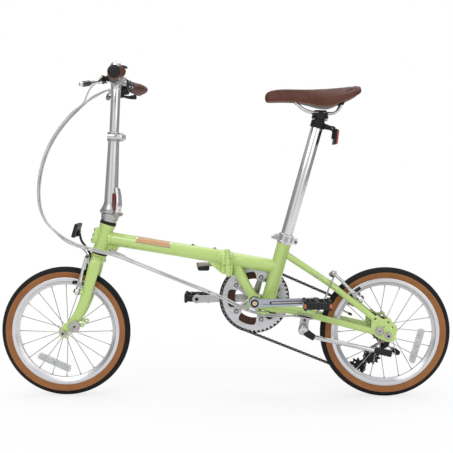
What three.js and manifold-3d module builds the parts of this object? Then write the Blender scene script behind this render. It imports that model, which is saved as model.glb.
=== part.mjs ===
// A folding bicycle with 16-inch wheels, as a three.js scene graph. Millimetres, +Z up.
// The bicycle faces -X, its left side faces -Y and its drive side +Y. The origin is on the ground,
// midway between the two axles, in the plane of the wheels.
import * as THREE from "three";
import { mergeVertices } from "three/addons/utils/BufferGeometryUtils.js";
import Module from "manifold-3d";

const wasm = await Module();
wasm.setup();

// ---- driving dimensions ----
const GAP = 0.3; // running gap between neighbouring pieces
const WHEELBASE = 917.5;
const TYRE_R = 186;
const TYRE_HALF_WIDTH = 17.5;
const RIM_R = 158;
const RIM_INNER_R = 134.5;
const RIM_HALF_WIDTH = 12;
const SPOKES = 20;
const WHEEL_SEGMENTS = 28;
const HEAD_LEAN = THREE.MathUtils.degToRad(16.5);
const HEAD = { x: -348.4, z: 454.4 }; // middle of the head tube
const POST_LEAN = THREE.MathUtils.degToRad(2.9);
const POST_FOOT = { x: -328.5, z: 525 }; // handlepost axis at the folding seam
const POST_CLAMP_Z = 757; // top of the telescope clamp
const BAR = { x: -310, z: 906, halfLength: 290, sweep: 33, drop: 6, r: 12.7 };
const SEAT_LEAN = THREE.MathUtils.degToRad(15.6);
const SEAT_TUBE = { x: 165, z: 423, r: 18.8, bottomZ: 262, topZ: 438 };
const SEAT_POST_R = 16.95;
const SEAT_SIDES = 20;
const SEAT_TOP_Z = 806; // saddle rails over the seat post
const CRANK = { x: 84.7, z: 275.5, length: 170, angle: THREE.MathUtils.degToRad(2.3) };
const CHAIN_Y = 44; // plane of the chain
const CHAIN_PITCH = 12.7;
const CHAINRING_TEETH = 48;
const COG_TEETH = 15;
const JOCKEY_TEETH = 11;
const JOCKEY_UPPER = { x: 429, z: 106.6 };
const JOCKEY_LOWER = { x: 385.5, z: 76.9 };
const FOLD_PIN = { x: 9, y: -38, z: 388, lean: THREE.MathUtils.degToRad(-2.5) };
const SEAM_X = 7; // the two hinge plates meet here
const TUBE_R = 19.5; // main tube
const DROPOUT_Y = 65; // inner face of the rear dropouts
const FORK_END_Y = 37; // inner face of the fork ends
const AXLE_R = 5;

const FRONT_AXLE = { x: -WHEELBASE / 2, z: TYRE_R };
const REAR_AXLE = { x: WHEELBASE / 2, z: TYRE_R };

// ---- materials ----
function paint(color, roughness, metalness) {
  return new THREE.MeshStandardMaterial({ color, roughness, metalness });
}
const MATERIAL = {
  frame: paint(0xb5cc77, 0.35, 0.1),
  alloy: paint(0xc9cacc, 0.3, 0.9),
  steel: paint(0xb4b6ba, 0.25, 1.0),
  black: paint(0x1b1b1c, 0.5, 0.1),
  tread: paint(0x8a5a35, 0.85, 0.0),
  leather: paint(0x4f2b1d, 0.55, 0.0),
  guard: paint(0x3a2a24, 0.5, 0.1),
  cable: paint(0xc8cacb, 0.5, 0.0),
  lens: paint(0xd9dcdd, 0.2, 0.0),
  redLens: paint(0xa01218, 0.2, 0.0),
};

// ---- solids ----
function v(x, y, z) {
  return new THREE.Vector3(x, y, z);
}

// A closed three.js geometry as a solid that can be joined and cut.
function solid(geometry) {
  const bare = (geometry.index ? geometry.toNonIndexed() : geometry.clone());
  bare.deleteAttribute("normal");
  bare.deleteAttribute("uv");
  const merged = mergeVertices(bare, 1e-3);
  const corners = Array.from(merged.index.array);
  const kept = [];
  for (let i = 0; i < corners.length; i += 3) {
    const [a, b, c] = corners.slice(i, i + 3);
    if (a !== b && b !== c && c !== a) kept.push(a, b, c);
  }
  const build = (triVerts) =>
    new wasm.Manifold(
      new wasm.Mesh({
        numProp: 3,
        vertProperties: merged.attributes.position.array,
        triVerts: new Uint32Array(triVerts),
      }),
    );
  const made = build(kept);
  return made.volume() > 0 ? made : build(kept.reverse());
}

function join(...solids) {
  return solids.reduce((whole, part) => whole.add(part));
}

function cut(whole, ...tools) {
  return tools.reduce((rest, tool) => rest.subtract(tool), whole);
}

function mesh(name, part, material) {
  const { vertProperties, triVerts } = part.getMesh();
  const geometry = new THREE.BufferGeometry();
  geometry.setAttribute("position", new THREE.BufferAttribute(new Float32Array(vertProperties), 3));
  geometry.setIndex(new THREE.BufferAttribute(new Uint32Array(triVerts), 1));
  const flat = geometry.toNonIndexed();
  flat.computeVertexNormals();
  const made = new THREE.Mesh(flat, material);
  made.name = name;
  return made;
}

// A cylinder or cone between two points.
function rod(from, to, r0, r1 = r0, sides = 10) {
  const along = to.clone().sub(from);
  const geometry = new THREE.CylinderGeometry(r1, r0, along.length(), sides);
  const turn = new THREE.Quaternion().setFromUnitVectors(v(0, 1, 0), along.clone().normalize());
  geometry.applyQuaternion(turn);
  geometry.translate(...from.clone().add(to).multiplyScalar(0.5).toArray());
  return solid(geometry);
}

// A cylinder across the bicycle, from y0 to y1.
function pinY(x, z, y0, y1, r, sides = 10) {
  return rod(v(x, y0, z), v(x, y1, z), r, r, sides);
}

function box(cx, cy, cz, sx, sy, sz, lean = 0) {
  const geometry = new THREE.BoxGeometry(sx, sy, sz);
  geometry.rotateY(lean);
  geometry.translate(cx, cy, cz);
  return solid(geometry);
}

// A rounded section swept along a curve. size(t) gives the half widths, first across `side` and then
// square to it.
function sweep(curve, size, { steps = 8, sides = 12, side = v(0, 1, 0) } = {}) {
  const geometry = new THREE.CylinderGeometry(1, 1, 1, sides, steps);
  const position = geometry.attributes.position;
  for (let i = 0; i < position.count; i++) {
    const t = THREE.MathUtils.clamp(position.getY(i) + 0.5, 0, 1);
    const tangent = curve.getTangentAt(t);
    const across = side.clone().addScaledVector(tangent, -side.dot(tangent)).normalize();
    const other = across.clone().cross(tangent);
    const [a, b] = size(t);
    const at = curve.getPointAt(t);
    at.addScaledVector(across, position.getX(i) * a);
    at.addScaledVector(other, position.getZ(i) * b);
    position.setXYZ(i, at.x, at.y, at.z);
  }
  return solid(geometry);
}

function curve(...points) {
  return new THREE.CatmullRomCurve3(points, false, "centripetal");
}

function tube(points, r, options) {
  return sweep(curve(...points), () => [r, r], options);
}

// A flat plate in the XZ plane, from y0 to y1, with an outline of [x, z] points or a THREE.Shape.
function plate(outline, y0, y1, curveSegments = 8) {
  const shape = outline instanceof THREE.Shape
    ? outline : new THREE.Shape(outline.map(([x, z]) => new THREE.Vector2(x, z)));
  const geometry = new THREE.ExtrudeGeometry(shape, { depth: y1 - y0, bevelEnabled: false, curveSegments });
  geometry.rotateX(Math.PI / 2);
  geometry.translate(0, y1, 0);
  return solid(geometry);
}

// A ring or disc round a line across the bicycle, from a closed profile of [radius, y] points.
function turned(profile, segments = 32) {
  const points = profile.map(([r, y]) => new THREE.Vector2(r, y));
  if (profile[0][0] > 0) points.push(points[0].clone());
  return solid(new THREE.LatheGeometry(points, segments));
}

function ring(inner, outer, y0, y1, segments = 24) {
  return turned([[inner, y0], [outer, y0], [outer, y1], [inner, y1]], segments);
}

// The same kind of ring, but round the Z axis.
function collar(inner, outer, z0, z1, segments = 24) {
  return ring(inner, outer, z0, z1, segments).rotate([90, 0, 0]);
}

function at(part, x, y, z) {
  return part.translate([x, y, z]);
}

// ---- toothed wheels ----
function pitchRadius(teeth) {
  return CHAIN_PITCH / (2 * Math.sin(Math.PI / teeth));
}

// share of the tooth's pitch, height over the pitch line
const FULL_TOOTH = [[0, -4], [0.38, 3.4], [0.62, 3.4]];
const SIMPLE_TOOTH = [[0, -3.4], [0.5, 3.2]];
function sprocketShape(teeth, tooth = FULL_TOOTH) {
  const r = pitchRadius(teeth);
  const step = (2 * Math.PI) / teeth;
  const points = [];
  for (let i = 0; i < teeth; i++) {
    for (const [share, height] of tooth) {
      const a = (i + share) * step;
      points.push(new THREE.Vector2((r + height) * Math.cos(a), (r + height) * Math.sin(a)));
    }
  }
  return new THREE.Shape(points);
}

function sprocket(teeth, y, thickness) {
  return plate(sprocketShape(teeth, SIMPLE_TOOTH), y - thickness / 2, y + thickness / 2);
}

// ---- the chain's path: a belt round wheels, each passed on its left (turn 1) or right (turn -1) ----
function beltPoints(wheels, offset) {
  const spokes = wheels.map((wheel) => ({ ...wheel, radius: wheel.r * wheel.turn + offset }));
  const touches = spokes.map((a, i) => {
    const b = spokes[(i + 1) % spokes.length];
    const heading = Math.atan2(b.z - a.z, b.x - a.x);
    const distance = Math.hypot(b.x - a.x, b.z - a.z);
    return heading - Math.PI / 2 + Math.asin((b.radius - a.radius) / distance) * -1;
  });
  const points = [];
  spokes.forEach((wheel, i) => {
    const start = touches[(i + spokes.length - 1) % spokes.length];
    let sweepAngle = touches[i] - start;
    while (sweepAngle * wheel.turn < 0) sweepAngle += wheel.turn * 2 * Math.PI;
    while (sweepAngle * wheel.turn > 2 * Math.PI) sweepAngle -= wheel.turn * 2 * Math.PI;
    const count = Math.max(3, Math.ceil((Math.abs(sweepAngle) / Math.PI) * wheel.segments));
    for (let k = 0; k <= count; k++) {
      const a = start + (sweepAngle * k) / count;
      points.push([wheel.x + wheel.radius * Math.cos(a), wheel.z + wheel.radius * Math.sin(a)]);
    }
  });
  return points;
}

function beltBand(wheels, inner, outer, y0, y1) {
  const shape = new THREE.Shape(beltPoints(wheels, outer).map(([x, z]) => new THREE.Vector2(x, z)));
  shape.holes.push(new THREE.Path(beltPoints(wheels, inner).map(([x, z]) => new THREE.Vector2(x, z))));
  return plate(shape, y0, y1);
}

const CHAIN_WHEELS = [
  { ...JOCKEY_UPPER, r: pitchRadius(JOCKEY_TEETH), turn: -1, segments: 8 },
  { ...REAR_AXLE, r: pitchRadius(COG_TEETH), turn: 1, segments: 10 },
  { x: CRANK.x, z: CRANK.z, r: pitchRadius(CHAINRING_TEETH), turn: 1, segments: 18 },
  { ...JOCKEY_LOWER, r: pitchRadius(JOCKEY_TEETH), turn: 1, segments: 8 },
];

function chain() {
  const y = CHAIN_Y;
  const plates = [
    beltBand(CHAIN_WHEELS, -4, 4, y + 1.5, y + 3.2),
    beltBand(CHAIN_WHEELS, -4, 4, y - 3.2, y - 1.5),
  ];
  const toLower = v(JOCKEY_LOWER.x - JOCKEY_UPPER.x, 0, JOCKEY_LOWER.z - JOCKEY_UPPER.z);
  const reach = 60;
  const middle = toLower.clone().normalize().multiplyScalar(toLower.length() / 2 - reach / 2);
  const nearUpperJockey = box(
    JOCKEY_UPPER.x + middle.x, y, JOCKEY_UPPER.z + middle.z, reach, 20, 80,
      -Math.atan2(toLower.z, toLower.x));
  const outside = cut(beltBand(CHAIN_WHEELS, 3.9, 5.3, y - 3.2, y + 3.2), nearUpperJockey);
  const inside = beltBand(CHAIN_WHEELS, -5.3, -3.9, y - 3.2, y + 3.2).intersect(nearUpperJockey);
  return join(...plates, outside, inside);
}

// ---- wheels: built at the origin with the axle along Y ----
function tyre() {
  const w = TYRE_HALF_WIDTH;
  return turned([
    [152.9, -9], [159.5, -9.4], [169, -w], [181, -12], [TYRE_R, -4],
    [TYRE_R, 4], [181, 12], [169, w], [159.5, 9.4], [152.9, 9],
  ], WHEEL_SEGMENTS);
}

function rim() {
  const w = RIM_HALF_WIDTH;
  return turned([
    [RIM_INNER_R, -6], [147, -w], [RIM_R, -w], [RIM_R, -w + 2], [151, -w + 2.4],
    [151, w - 2.4], [RIM_R, w - 2], [RIM_R, w], [147, w], [RIM_INNER_R, 6],
  ], WHEEL_SEGMENTS);
}

// Hub shell with its spokes. lace is the angle that each spoke leaves the flange by, ahead of radial.
function hub(flangeY, flangeR, barrelR, boreR, lace, leftY = -flangeY) {
  let part = turned([
    [boreR, leftY - 4], [barrelR, leftY - 4], [flangeR, leftY - 1.5], [flangeR, leftY + 1.5],
      [barrelR, leftY + 2],
    [barrelR, flangeY - 2], [flangeR, flangeY - 1.5], [flangeR, flangeY + 1.5], [barrelR, flangeY + 4],
      [boreR, flangeY + 4],
  ], 14);
  for (let i = 0; i < SPOKES; i++) {
    const out = (i / SPOKES) * 2 * Math.PI;
    const root = out + lace * (i % 4 < 2 ? 1 : -1);
    const y = i % 2 ? flangeY : leftY;
    const rootR = flangeR - 2.5;
    const tipR = RIM_INNER_R - 1.6;
    const from = v(rootR * Math.cos(root), y, rootR * Math.sin(root));
    const to = v(tipR * Math.cos(out), y * 0.08, tipR * Math.sin(out));
    part = part.add(rod(from, to, 1.2, 1.2, 3));
  }
  return part;
}

function wheel(prefix, axle, hubPart) {
  const group = new THREE.Group();
  group.position.set(axle.x, 0, axle.z);
  group.add(mesh(`${prefix}_tyre`, tyre(), MATERIAL.tread));
  group.add(mesh(`${prefix}_rim`, rim(), MATERIAL.alloy));
  group.add(mesh(`${prefix}_hub_and_spokes`, hubPart, MATERIAL.steel));
  return group;
}

// ---- steering parts: built in a group whose Z axis is the steering axis, -X forward ----
const steering = new THREE.Group();
steering.position.set(HEAD.x, 0, HEAD.z);
steering.rotation.y = HEAD_LEAN;

// A world point in the steering group's own axes.
function headLocal(x, y, z) {
  const dx = x - HEAD.x;
  const dz = z - HEAD.z;
  return v(
    dx * Math.cos(HEAD_LEAN) - dz * Math.sin(HEAD_LEAN), y,
    dx * Math.sin(HEAD_LEAN) + dz * Math.cos(HEAD_LEAN),
  );
}

const CROWN_Z = -58;
const STEERER_R = 14.3;
const HEAD_TUBE = { top: 41, bottom: -43, r: 20, flare: 22.8 };
const FORK_AXLE = headLocal(FRONT_AXLE.x, 0, FRONT_AXLE.z);
const BRAKE_BOSS_Z = -164;
const BRAKE_BOSS_Y = 40;

function forkBlade(side) {
  const end = side * (FORK_END_Y + 2.5);
  const path = curve(
    v(0, side * 6, CROWN_Z), v(0, side * 27, CROWN_Z - 7), v(0, side * 34, -90), v(1, side * 36, -140),
    v(0, side * 37, -190), v(-7, side * 38, -232), v(-22, end, -270),
      v(FORK_AXLE.x - 1, end, FORK_AXLE.z + 8),
  );
  const taper = (t) => [8.5 - 4.5 * t, 16.5 - 7.5 * Math.max(0, t - 0.25)];
  const blade = sweep(path, taper, { steps: 8, sides: 8 });
  const inner = side * FORK_END_Y;
  const outer = side * (FORK_END_Y + 5);
  const y0 = Math.min(inner, outer);
  const y1 = Math.max(inner, outer);
  const end0 = pinY(FORK_AXLE.x, FORK_AXLE.z, y0, y1, 14, 14);
  const link = plate([
    [FORK_AXLE.x - 12, FORK_AXLE.z], [FORK_AXLE.x - 6, FORK_AXLE.z + 24],
    [FORK_AXLE.x + 14, FORK_AXLE.z + 24], [FORK_AXLE.x + 14, FORK_AXLE.z],
  ], y0, y1);
  const eyelet = pinY(FORK_AXLE.x + 44, FORK_AXLE.z + 37, y0, y1, 7, 8);
  const eyeletArm = rod(
    v(FORK_AXLE.x + 10, (y0 + y1) / 2, FORK_AXLE.z + 30),
      v(FORK_AXLE.x + 42, (y0 + y1) / 2, FORK_AXLE.z + 37), 2.4, 2.4, 8);
  const boss = rod(v(-12, side * BRAKE_BOSS_Y, BRAKE_BOSS_Z), v(-19, side * BRAKE_BOSS_Y, BRAKE_BOSS_Z), 7,
    7, 12);
  const stud = rod(v(-18, side * BRAKE_BOSS_Y, BRAKE_BOSS_Z), v(-30, side * BRAKE_BOSS_Y, BRAKE_BOSS_Z),
    3.8, 3.8, 8);
  return join(blade, end0, link, eyelet, eyeletArm, boss, stud);
}

function fork() {
  const tyreSpace = pinY(FORK_AXLE.x, FORK_AXLE.z, -21, 21, TYRE_R + 7, 24);
  const crown = sweep(curve(v(0, 0, -48.4), v(0, 0, -70)), (t) => [22 - 4 * t, 18.5],
    { steps: 2, sides: 16 });
  const steerer = rod(v(0, 0, -60), v(0, 0, 61), STEERER_R, STEERER_R, 16);
  const axleHoles = pinY(FORK_AXLE.x, FORK_AXLE.z, -60, 60, AXLE_R + GAP, 12);
  const eyeletHoles = pinY(FORK_AXLE.x + 44, FORK_AXLE.z + 37, -60, 60, 2.8, 6);
  return cut(join(crown, steerer, forkBlade(-1), forkBlade(1)), tyreSpace, axleHoles, eyeletHoles);
}

// One V-brake arm with its pad holder and pad. Built with its pivot at the origin, the arm along +Z,
// the wheel towards -side Y, and the head of its pivot bolt at the `out` end of X.
const ARM = { length: 96, depth: 11, inset: 9, padHeight: 22, padY: 20 };

function brakeArm(side, out) {
  const path = curve(
    v(0, 0, 0), v(0, side * 1.5, 22), v(-2, -side * 1, 52), v(-4, -side * ARM.inset, ARM.length));
  const arm = sweep(path, (t) => [5.5 - 1.8 * t, 5.5 - 1.5 * t], { steps: 5, sides: 6 });
  const barrel = rod(v(-ARM.depth / 2, 0, 0), v(ARM.depth / 2, 0, 0), 7.5, 7.5, 8);
  const bolt = rod(v(out * (ARM.depth / 2 + 5.4), 0, 0), v(out * (ARM.depth / 2 - 1), 0, 0), 6, 6, 8);
  const bore = rod(v(out * ARM.depth / 2, 0, 0), v(-out * (ARM.depth / 2 + 5), 0, 0), 3.8 + GAP, 3.8 + GAP,
    8);
  const holder = rod(v(0, side * 7, ARM.padHeight), v(0, -side * 17, ARM.padHeight), 3.4, 3.4, 8);
  const pad = box(0, -side * ARM.padY, ARM.padHeight, 46, 9, 9);
  const anchor = rod(v(-8, -side * ARM.inset, ARM.length - 3), v(4, -side * ARM.inset, ARM.length - 3), 5,
    5, 8);
  return join(cut(join(arm, barrel, bolt), bore), holder, pad, anchor);
}

// The bent pipe that leads a brake cable over the wheel to one arm.
function noodle(side, forward) {
  const z = ARM.length - 3;
  return tube([
    v(-2, -side * (ARM.inset - 3), z + 3), v(-4, -side * (ARM.inset + 9), z + 4),
    v(-2 + forward * 0.2, -side * (ARM.inset - 4), z + 16), v(forward * 0.4, side * 8, z + 27),
    v(forward, side * 20, z + 22),
  ], 2.3, { steps: 8, sides: 5, side: v(1, 0, 0) });
}

function frontReflector() {
  const lens = headLocal(-426, 0, 477);
  const knee = headLocal(-417, 0, 446);
  const bend = headLocal(-405, 0, 428);
  const foot = headLocal(-395, 0, 402);
  const low = headLocal(-393, 0, 386);
  const body = box(lens.x, 0, lens.z, 10, 84, 40);
  const strip = sweep(curve(lens, knee, bend, foot, low), () => [8, 1.4], { steps: 9, sides: 6 });
  const bolt = rod(v(low.x - 5, 0, low.z + 4), v(low.x + 3, 0, low.z + 4), 5, 5, 10);
  return join(body, strip, bolt);
}

steering.add(mesh("fork", fork(), MATERIAL.frame));
steering.add(mesh("front_reflector", frontReflector(), MATERIAL.lens));

const HUB_SPACE = 0.3;
function axleWithNuts(endY, faceY) {
  return join(
    pinY(0, 0, -endY, endY, AXLE_R, 12),
    pinY(0, 0, faceY + HUB_SPACE, endY - 3, 9.5, 6),
    pinY(0, 0, 3 - endY, -faceY - HUB_SPACE, 9.5, 6),
  );
}

// Disc on a strap under the left axle nut. The folded halves meet disc to disc.
function magnetStrap(dx, dz, y, r, thickness) {
  const bar = box(dx / 2, y + 1.2, dz / 2, Math.hypot(dx, dz), 2.4, 14, -Math.atan2(dz, dx));
  return join(pinY(0, 0, y, y + 2.4, 11, 12), bar, pinY(dx, dz, y - thickness, y + 2.4, r, 16));
}

const frontAxle = new THREE.Group();
frontAxle.position.set(FRONT_AXLE.x, 0, FRONT_AXLE.z);
frontAxle.add(mesh("front_axle", join(
  axleWithNuts(60, FORK_END_Y + 11.6), magnetStrap(32, 19, -48.6, 16.5, 4)), MATERIAL.steel));

const frontBrakeLeft = new THREE.Group();
frontBrakeLeft.position.set(-25, -BRAKE_BOSS_Y, BRAKE_BOSS_Z);
frontBrakeLeft.add(mesh("front_brake_arm_left", join(brakeArm(-1, -1), noodle(-1, -14)), MATERIAL.steel));
const frontBrakeRight = new THREE.Group();
frontBrakeRight.position.set(-25, BRAKE_BOSS_Y, BRAKE_BOSS_Z);
frontBrakeRight.add(mesh("front_brake_arm_right", brakeArm(1, -1), MATERIAL.steel));
steering.add(frontBrakeLeft, frontBrakeRight);

// ---- handlepost ----
const post = new THREE.Group();
post.position.set(POST_FOOT.x, 0, POST_FOOT.z);
post.rotation.y = POST_LEAN;
const CLAMP_TOP = POST_CLAMP_Z - POST_FOOT.z;
const UPPER_R = 13.5;
const LATCH_REACH = 35; // latch barrel's distance from the post axis, towards the rear left
const DIAGONAL = Math.SQRT1_2;

function handlepostBase() {
  const foot = headLocal(POST_FOOT.x, 0, POST_FOOT.z);
  const top = headLocal(POST_FOOT.x + 0.1, 0, POST_FOOT.z - 0.6);
  const body = sweep(curve(v(0, 0, 46), v(foot.x * 0.3, 0, 60), top), (t) => [22 + 4 * t, 22 + 6 * t],
    { steps: 4, sides: 16 });
  const flatTop = headLocal(POST_FOOT.x, 0, POST_FOOT.z + 50);
  const above = box(flatTop.x, 0, flatTop.z, 140, 140, 100, POST_LEAN - HEAD_LEAN);
  const steererHole = rod(v(0, 0, 40), v(0, 0, 61.4), STEERER_R + GAP, STEERER_R + GAP, 20);
  const below = box(0, 0, 50.3 - 20, 80, 80, 40);
  return cut(body, above, below, steererHole);
}
steering.add(mesh("handlepost_base", handlepostBase(), MATERIAL.alloy));

function handlepostLower() {
  const casting = sweep(curve(v(0, 0, GAP), v(0, 0, 14), v(0, 0, 30)), (t) => [26 - 5 * t, 28 - 8 * t],
    { steps: 2, sides: 16 });
  const shaft = rod(v(0, 0, 24), v(0, 0, CLAMP_TOP - 26), 20, 15.6, 16);
  const clamp = rod(v(0, 0, CLAMP_TOP - 27), v(0, 0, CLAMP_TOP), 18.6, 18.6, 16);
  const ear = box(20, 0, CLAMP_TOP - 13, 12, 14, 22);
  const bore = rod(v(0, 0, 20), v(0, 0, CLAMP_TOP + 5), UPPER_R + GAP, UPPER_R + GAP, 18);
  return cut(join(casting, shaft, clamp, ear), bore);
}

function handlepostLatch() {
  const x = LATCH_REACH * DIAGONAL;
  const lever = sweep(
    curve(v(x, -x, 4), v(x + 2, -x - 2, 30), v(x - 1, -x + 1, 56), v(x - 4, -x + 4, 74)),
    (t) => [11 - 3 * t, 3.2], { steps: 6, sides: 8, side: v(DIAGONAL, DIAGONAL, 0) });
  const barrel = rod(v(x - 9, -x - 9, 0), v(x + 9, -x + 9, 0), 6, 6, 12);
  return join(lever, barrel);
}

post.add(mesh("handlepost_lower", handlepostLower(), MATERIAL.alloy));
post.add(mesh("handlepost_latch_lever", handlepostLatch(), MATERIAL.alloy));

function heightClampLever() {
  const z = CLAMP_TOP - 13;
  const pivot = rod(v(30, -14, z - 7), v(30, -14, z + 7), 5.5, 5.5, 10);
  const arm = tube([v(30, -15, z), v(24, -22, z), v(10, -27, z), v(-12, -27, z)], 4,
    { steps: 5, sides: 7, side: v(0, 0, 1) });
  return join(pivot, arm);
}
post.add(mesh("height_clamp_lever", heightClampLever(), MATERIAL.steel));

const barLocal = v(BAR.x - POST_FOOT.x, 0, BAR.z - POST_FOOT.z).applyAxisAngle(v(0, 1, 0), -POST_LEAN);
function handlepostUpper() {
  const shaft = rod(v(0, 0, CLAMP_TOP - 96), v(0, 0, barLocal.z - 8), UPPER_R, UPPER_R, 18);
  const clamp = rod(v(barLocal.x, -20, barLocal.z), v(barLocal.x, 20, barLocal.z), 18, 18, 16);
  const bore = rod(v(barLocal.x, -30, barLocal.z), v(barLocal.x, 30, barLocal.z), BAR.r + GAP, BAR.r + GAP,
    16);
  const shaftEnd = rod(v(barLocal.x + 14, -7, barLocal.z + 4), v(barLocal.x + 27, -7, barLocal.z + 4), 4.5,
    4.5, 10);
  return cut(join(shaft, clamp, shaftEnd), bore);
}
post.add(mesh("handlepost_upper", handlepostUpper(), MATERIAL.alloy));

// ---- handlebar and its controls, in world axes ----
const bars = new THREE.Group();
function barPoint(y) {
  const out = THREE.MathUtils.clamp((Math.abs(y) - 55) / (BAR.halfLength - 55), 0, 1);
  return v(BAR.x + BAR.sweep * out, y, BAR.z - BAR.drop * out);
}
function handlebar() {
  const points = [];
  for (const y of [-BAR.halfLength + 4, -55, -22, 22, 55, BAR.halfLength - 4]) points.push(barPoint(y));
  const parts = [];
  for (let i = 1; i < points.length; i++) parts.push(rod(points[i - 1], points[i], BAR.r, BAR.r, 12));
  return join(...parts);
}
function grip(side) {
  const outer = rod(barPoint(side * 166), barPoint(side * BAR.halfLength), 16.5, 17.2, 14);
  const hole = rod(barPoint(side * 120), barPoint(side * (BAR.halfLength - 3.6)), BAR.r + GAP + 0.3,
    BAR.r + GAP + 0.3, 14);
  return cut(outer, hole);
}
bars.add(mesh("handlebar", handlebar(), MATERIAL.alloy));
bars.add(mesh("grip_left", grip(-1), MATERIAL.leather));
bars.add(mesh("grip_right", grip(1), MATERIAL.leather));

const LEVER = { pivotY: 148, tipY: 252, pivotX: -334, pivotZ: 889, tipX: -368, tipZ: 871 };
function leverPerch(side) {
  const y = side * 146;
  const on = barPoint(y);
  const tilt = 0.33;
  const ringPart = rod(barPoint(side * 136), barPoint(side * 156), 16.5, 16.5, 14);
  const block = box(on.x - 25, y, on.z - 10, 19, 16, 15, tilt);
  const link = box(on.x - 16, y, on.z - 7, 10, 14, 12, tilt);
  const cableEnd = rod(v(on.x - 29, y - side * 4, on.z - 11), v(on.x - 36, y - side * 40, on.z - 16), 4.6,
    3.6, 8);
  const barRoom = rod(barPoint(side * 120), barPoint(side * 175), BAR.r + GAP, BAR.r + GAP, 16);
  const leverRoom = box(LEVER.pivotX - 5, side * (LEVER.pivotY + 9), LEVER.pivotZ + 1.7, 30, 32, 8.6, tilt);
  return cut(join(ringPart, block, link, cableEnd), barRoom, leverRoom);
}
function brakeLever(side) {
  const path = curve(
    v(LEVER.pivotX - 4, side * (LEVER.pivotY + 8), LEVER.pivotZ - 1),
      v(LEVER.pivotX - 14, side * (LEVER.pivotY + 24), LEVER.pivotZ - 6),
    v(LEVER.pivotX - 27, side * (LEVER.pivotY + 60), LEVER.pivotZ - 13),
      v(LEVER.tipX, side * LEVER.tipY, LEVER.tipZ));
  const blade = sweep(path, (t) => [2.6 + 2.4 * t, 4.2], { steps: 6, sides: 8, side: v(0.32, 0, 0.95) });
  return join(blade, box(LEVER.pivotX - 1, side * (LEVER.pivotY + 4), LEVER.pivotZ + 0.3, 10, 17, 6.2,
    0.33));
}
bars.add(mesh("brake_perch_left", leverPerch(-1), MATERIAL.black));
bars.add(mesh("brake_perch_right", leverPerch(1), MATERIAL.black));
bars.add(mesh("brake_lever_left", brakeLever(-1), MATERIAL.steel));
bars.add(mesh("brake_lever_right", brakeLever(1), MATERIAL.steel));

const SHIFTER_Y = 118;
function shifterPod() {
  const on = barPoint(SHIFTER_Y);
  const clamp = cut(
    rod(barPoint(SHIFTER_Y - 8), barPoint(SHIFTER_Y + 8), 16.5, 16.5, 12),
    rod(barPoint(SHIFTER_Y - 30), barPoint(SHIFTER_Y + 30), BAR.r + GAP + 0.2, BAR.r + GAP + 0.2, 12));
  const body = rod(v(on.x - 4, SHIFTER_Y, on.z - 14.5), v(on.x - 2, SHIFTER_Y, on.z - 32), 15, 17, 14);
  const cableEnd = rod(v(on.x - 12, SHIFTER_Y - 4, on.z - 24), v(on.x - 34, SHIFTER_Y - 16, on.z - 23),
    4.4, 3.6, 10);
  return join(clamp, body, cableEnd);
}
function shiftLever() {
  const on = barPoint(SHIFTER_Y);
  const hubPart = rod(v(on.x - 2, SHIFTER_Y, on.z - 35), v(on.x - 1.6, SHIFTER_Y, on.z - 40), 12, 12, 12);
  const arm = tube([v(on.x, SHIFTER_Y, on.z - 38.6), v(on.x + 16, SHIFTER_Y + 12, on.z - 38.6),
    v(on.x + 31, SHIFTER_Y + 22, on.z - 36)], 3.4, { steps: 4, sides: 8, side: v(0, 0, 1) });
  return join(hubPart, arm);
}
bars.add(mesh("shifter", shifterPod(), MATERIAL.black));
bars.add(mesh("shift_lever", shiftLever(), MATERIAL.black));

const BELL = { y: -88, r: 16 };
function bell() {
  const on = barPoint(BELL.y);
  const clamp = cut(
    rod(barPoint(BELL.y - 5), barPoint(BELL.y + 5), 15.4, 15.4, 12),
    rod(barPoint(BELL.y - 20), barPoint(BELL.y + 20), BAR.r + GAP + 0.2, BAR.r + GAP + 0.2, 12));
  const stalk = rod(v(on.x + 4, BELL.y, on.z + 13), v(on.x + 4, BELL.y, on.z + 33), 5, 5, 10);
  const r = BELL.r;
  const dome = turned([[0, 0], [r * 0.8, 0], [r, 3], [r, 7], [r * 0.8, 13], [r * 0.4, 16.4], [0, 17]],
    14).rotate([90, 0, 0]);
  return join(clamp, stalk, dome.translate([on.x + 4, BELL.y, on.z + 25]));
}
function bellStriker() {
  const on = barPoint(BELL.y);
  const pivot = v(on.x + 25, BELL.y, on.z + 24);
  return join(
    rod(v(pivot.x, BELL.y - 4, pivot.z), v(pivot.x, BELL.y + 4, pivot.z), 3.4, 3.4, 10),
    tube([pivot, v(pivot.x + 3, BELL.y, pivot.z + 6), v(pivot.x + 2, BELL.y, pivot.z + 13)], 2.6,
      { steps: 3, sides: 7 }));
}
bars.add(mesh("bell", bell(), MATERIAL.steel));
bars.add(mesh("bell_striker", bellStriker(), MATERIAL.black));

// ---- cable housings: one closed run for each rigid body they belong to ----
const CABLE_R = 2.6;
function housing(points, steps) {
  return tube(points, CABLE_R, { steps, sides: 5, side: v(0.3, 1, 0.2) });
}
// The taut brace wire under the frame, in two runs that part at the folding joint.
const BRACE = { from: v(-324, -24, 420), to: v(66, -31, 251), r: 1.6 };
function bracePoint(x) {
  return BRACE.from.clone().lerp(BRACE.to, (x - BRACE.from.x) / (BRACE.to.x - BRACE.from.x));
}

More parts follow.
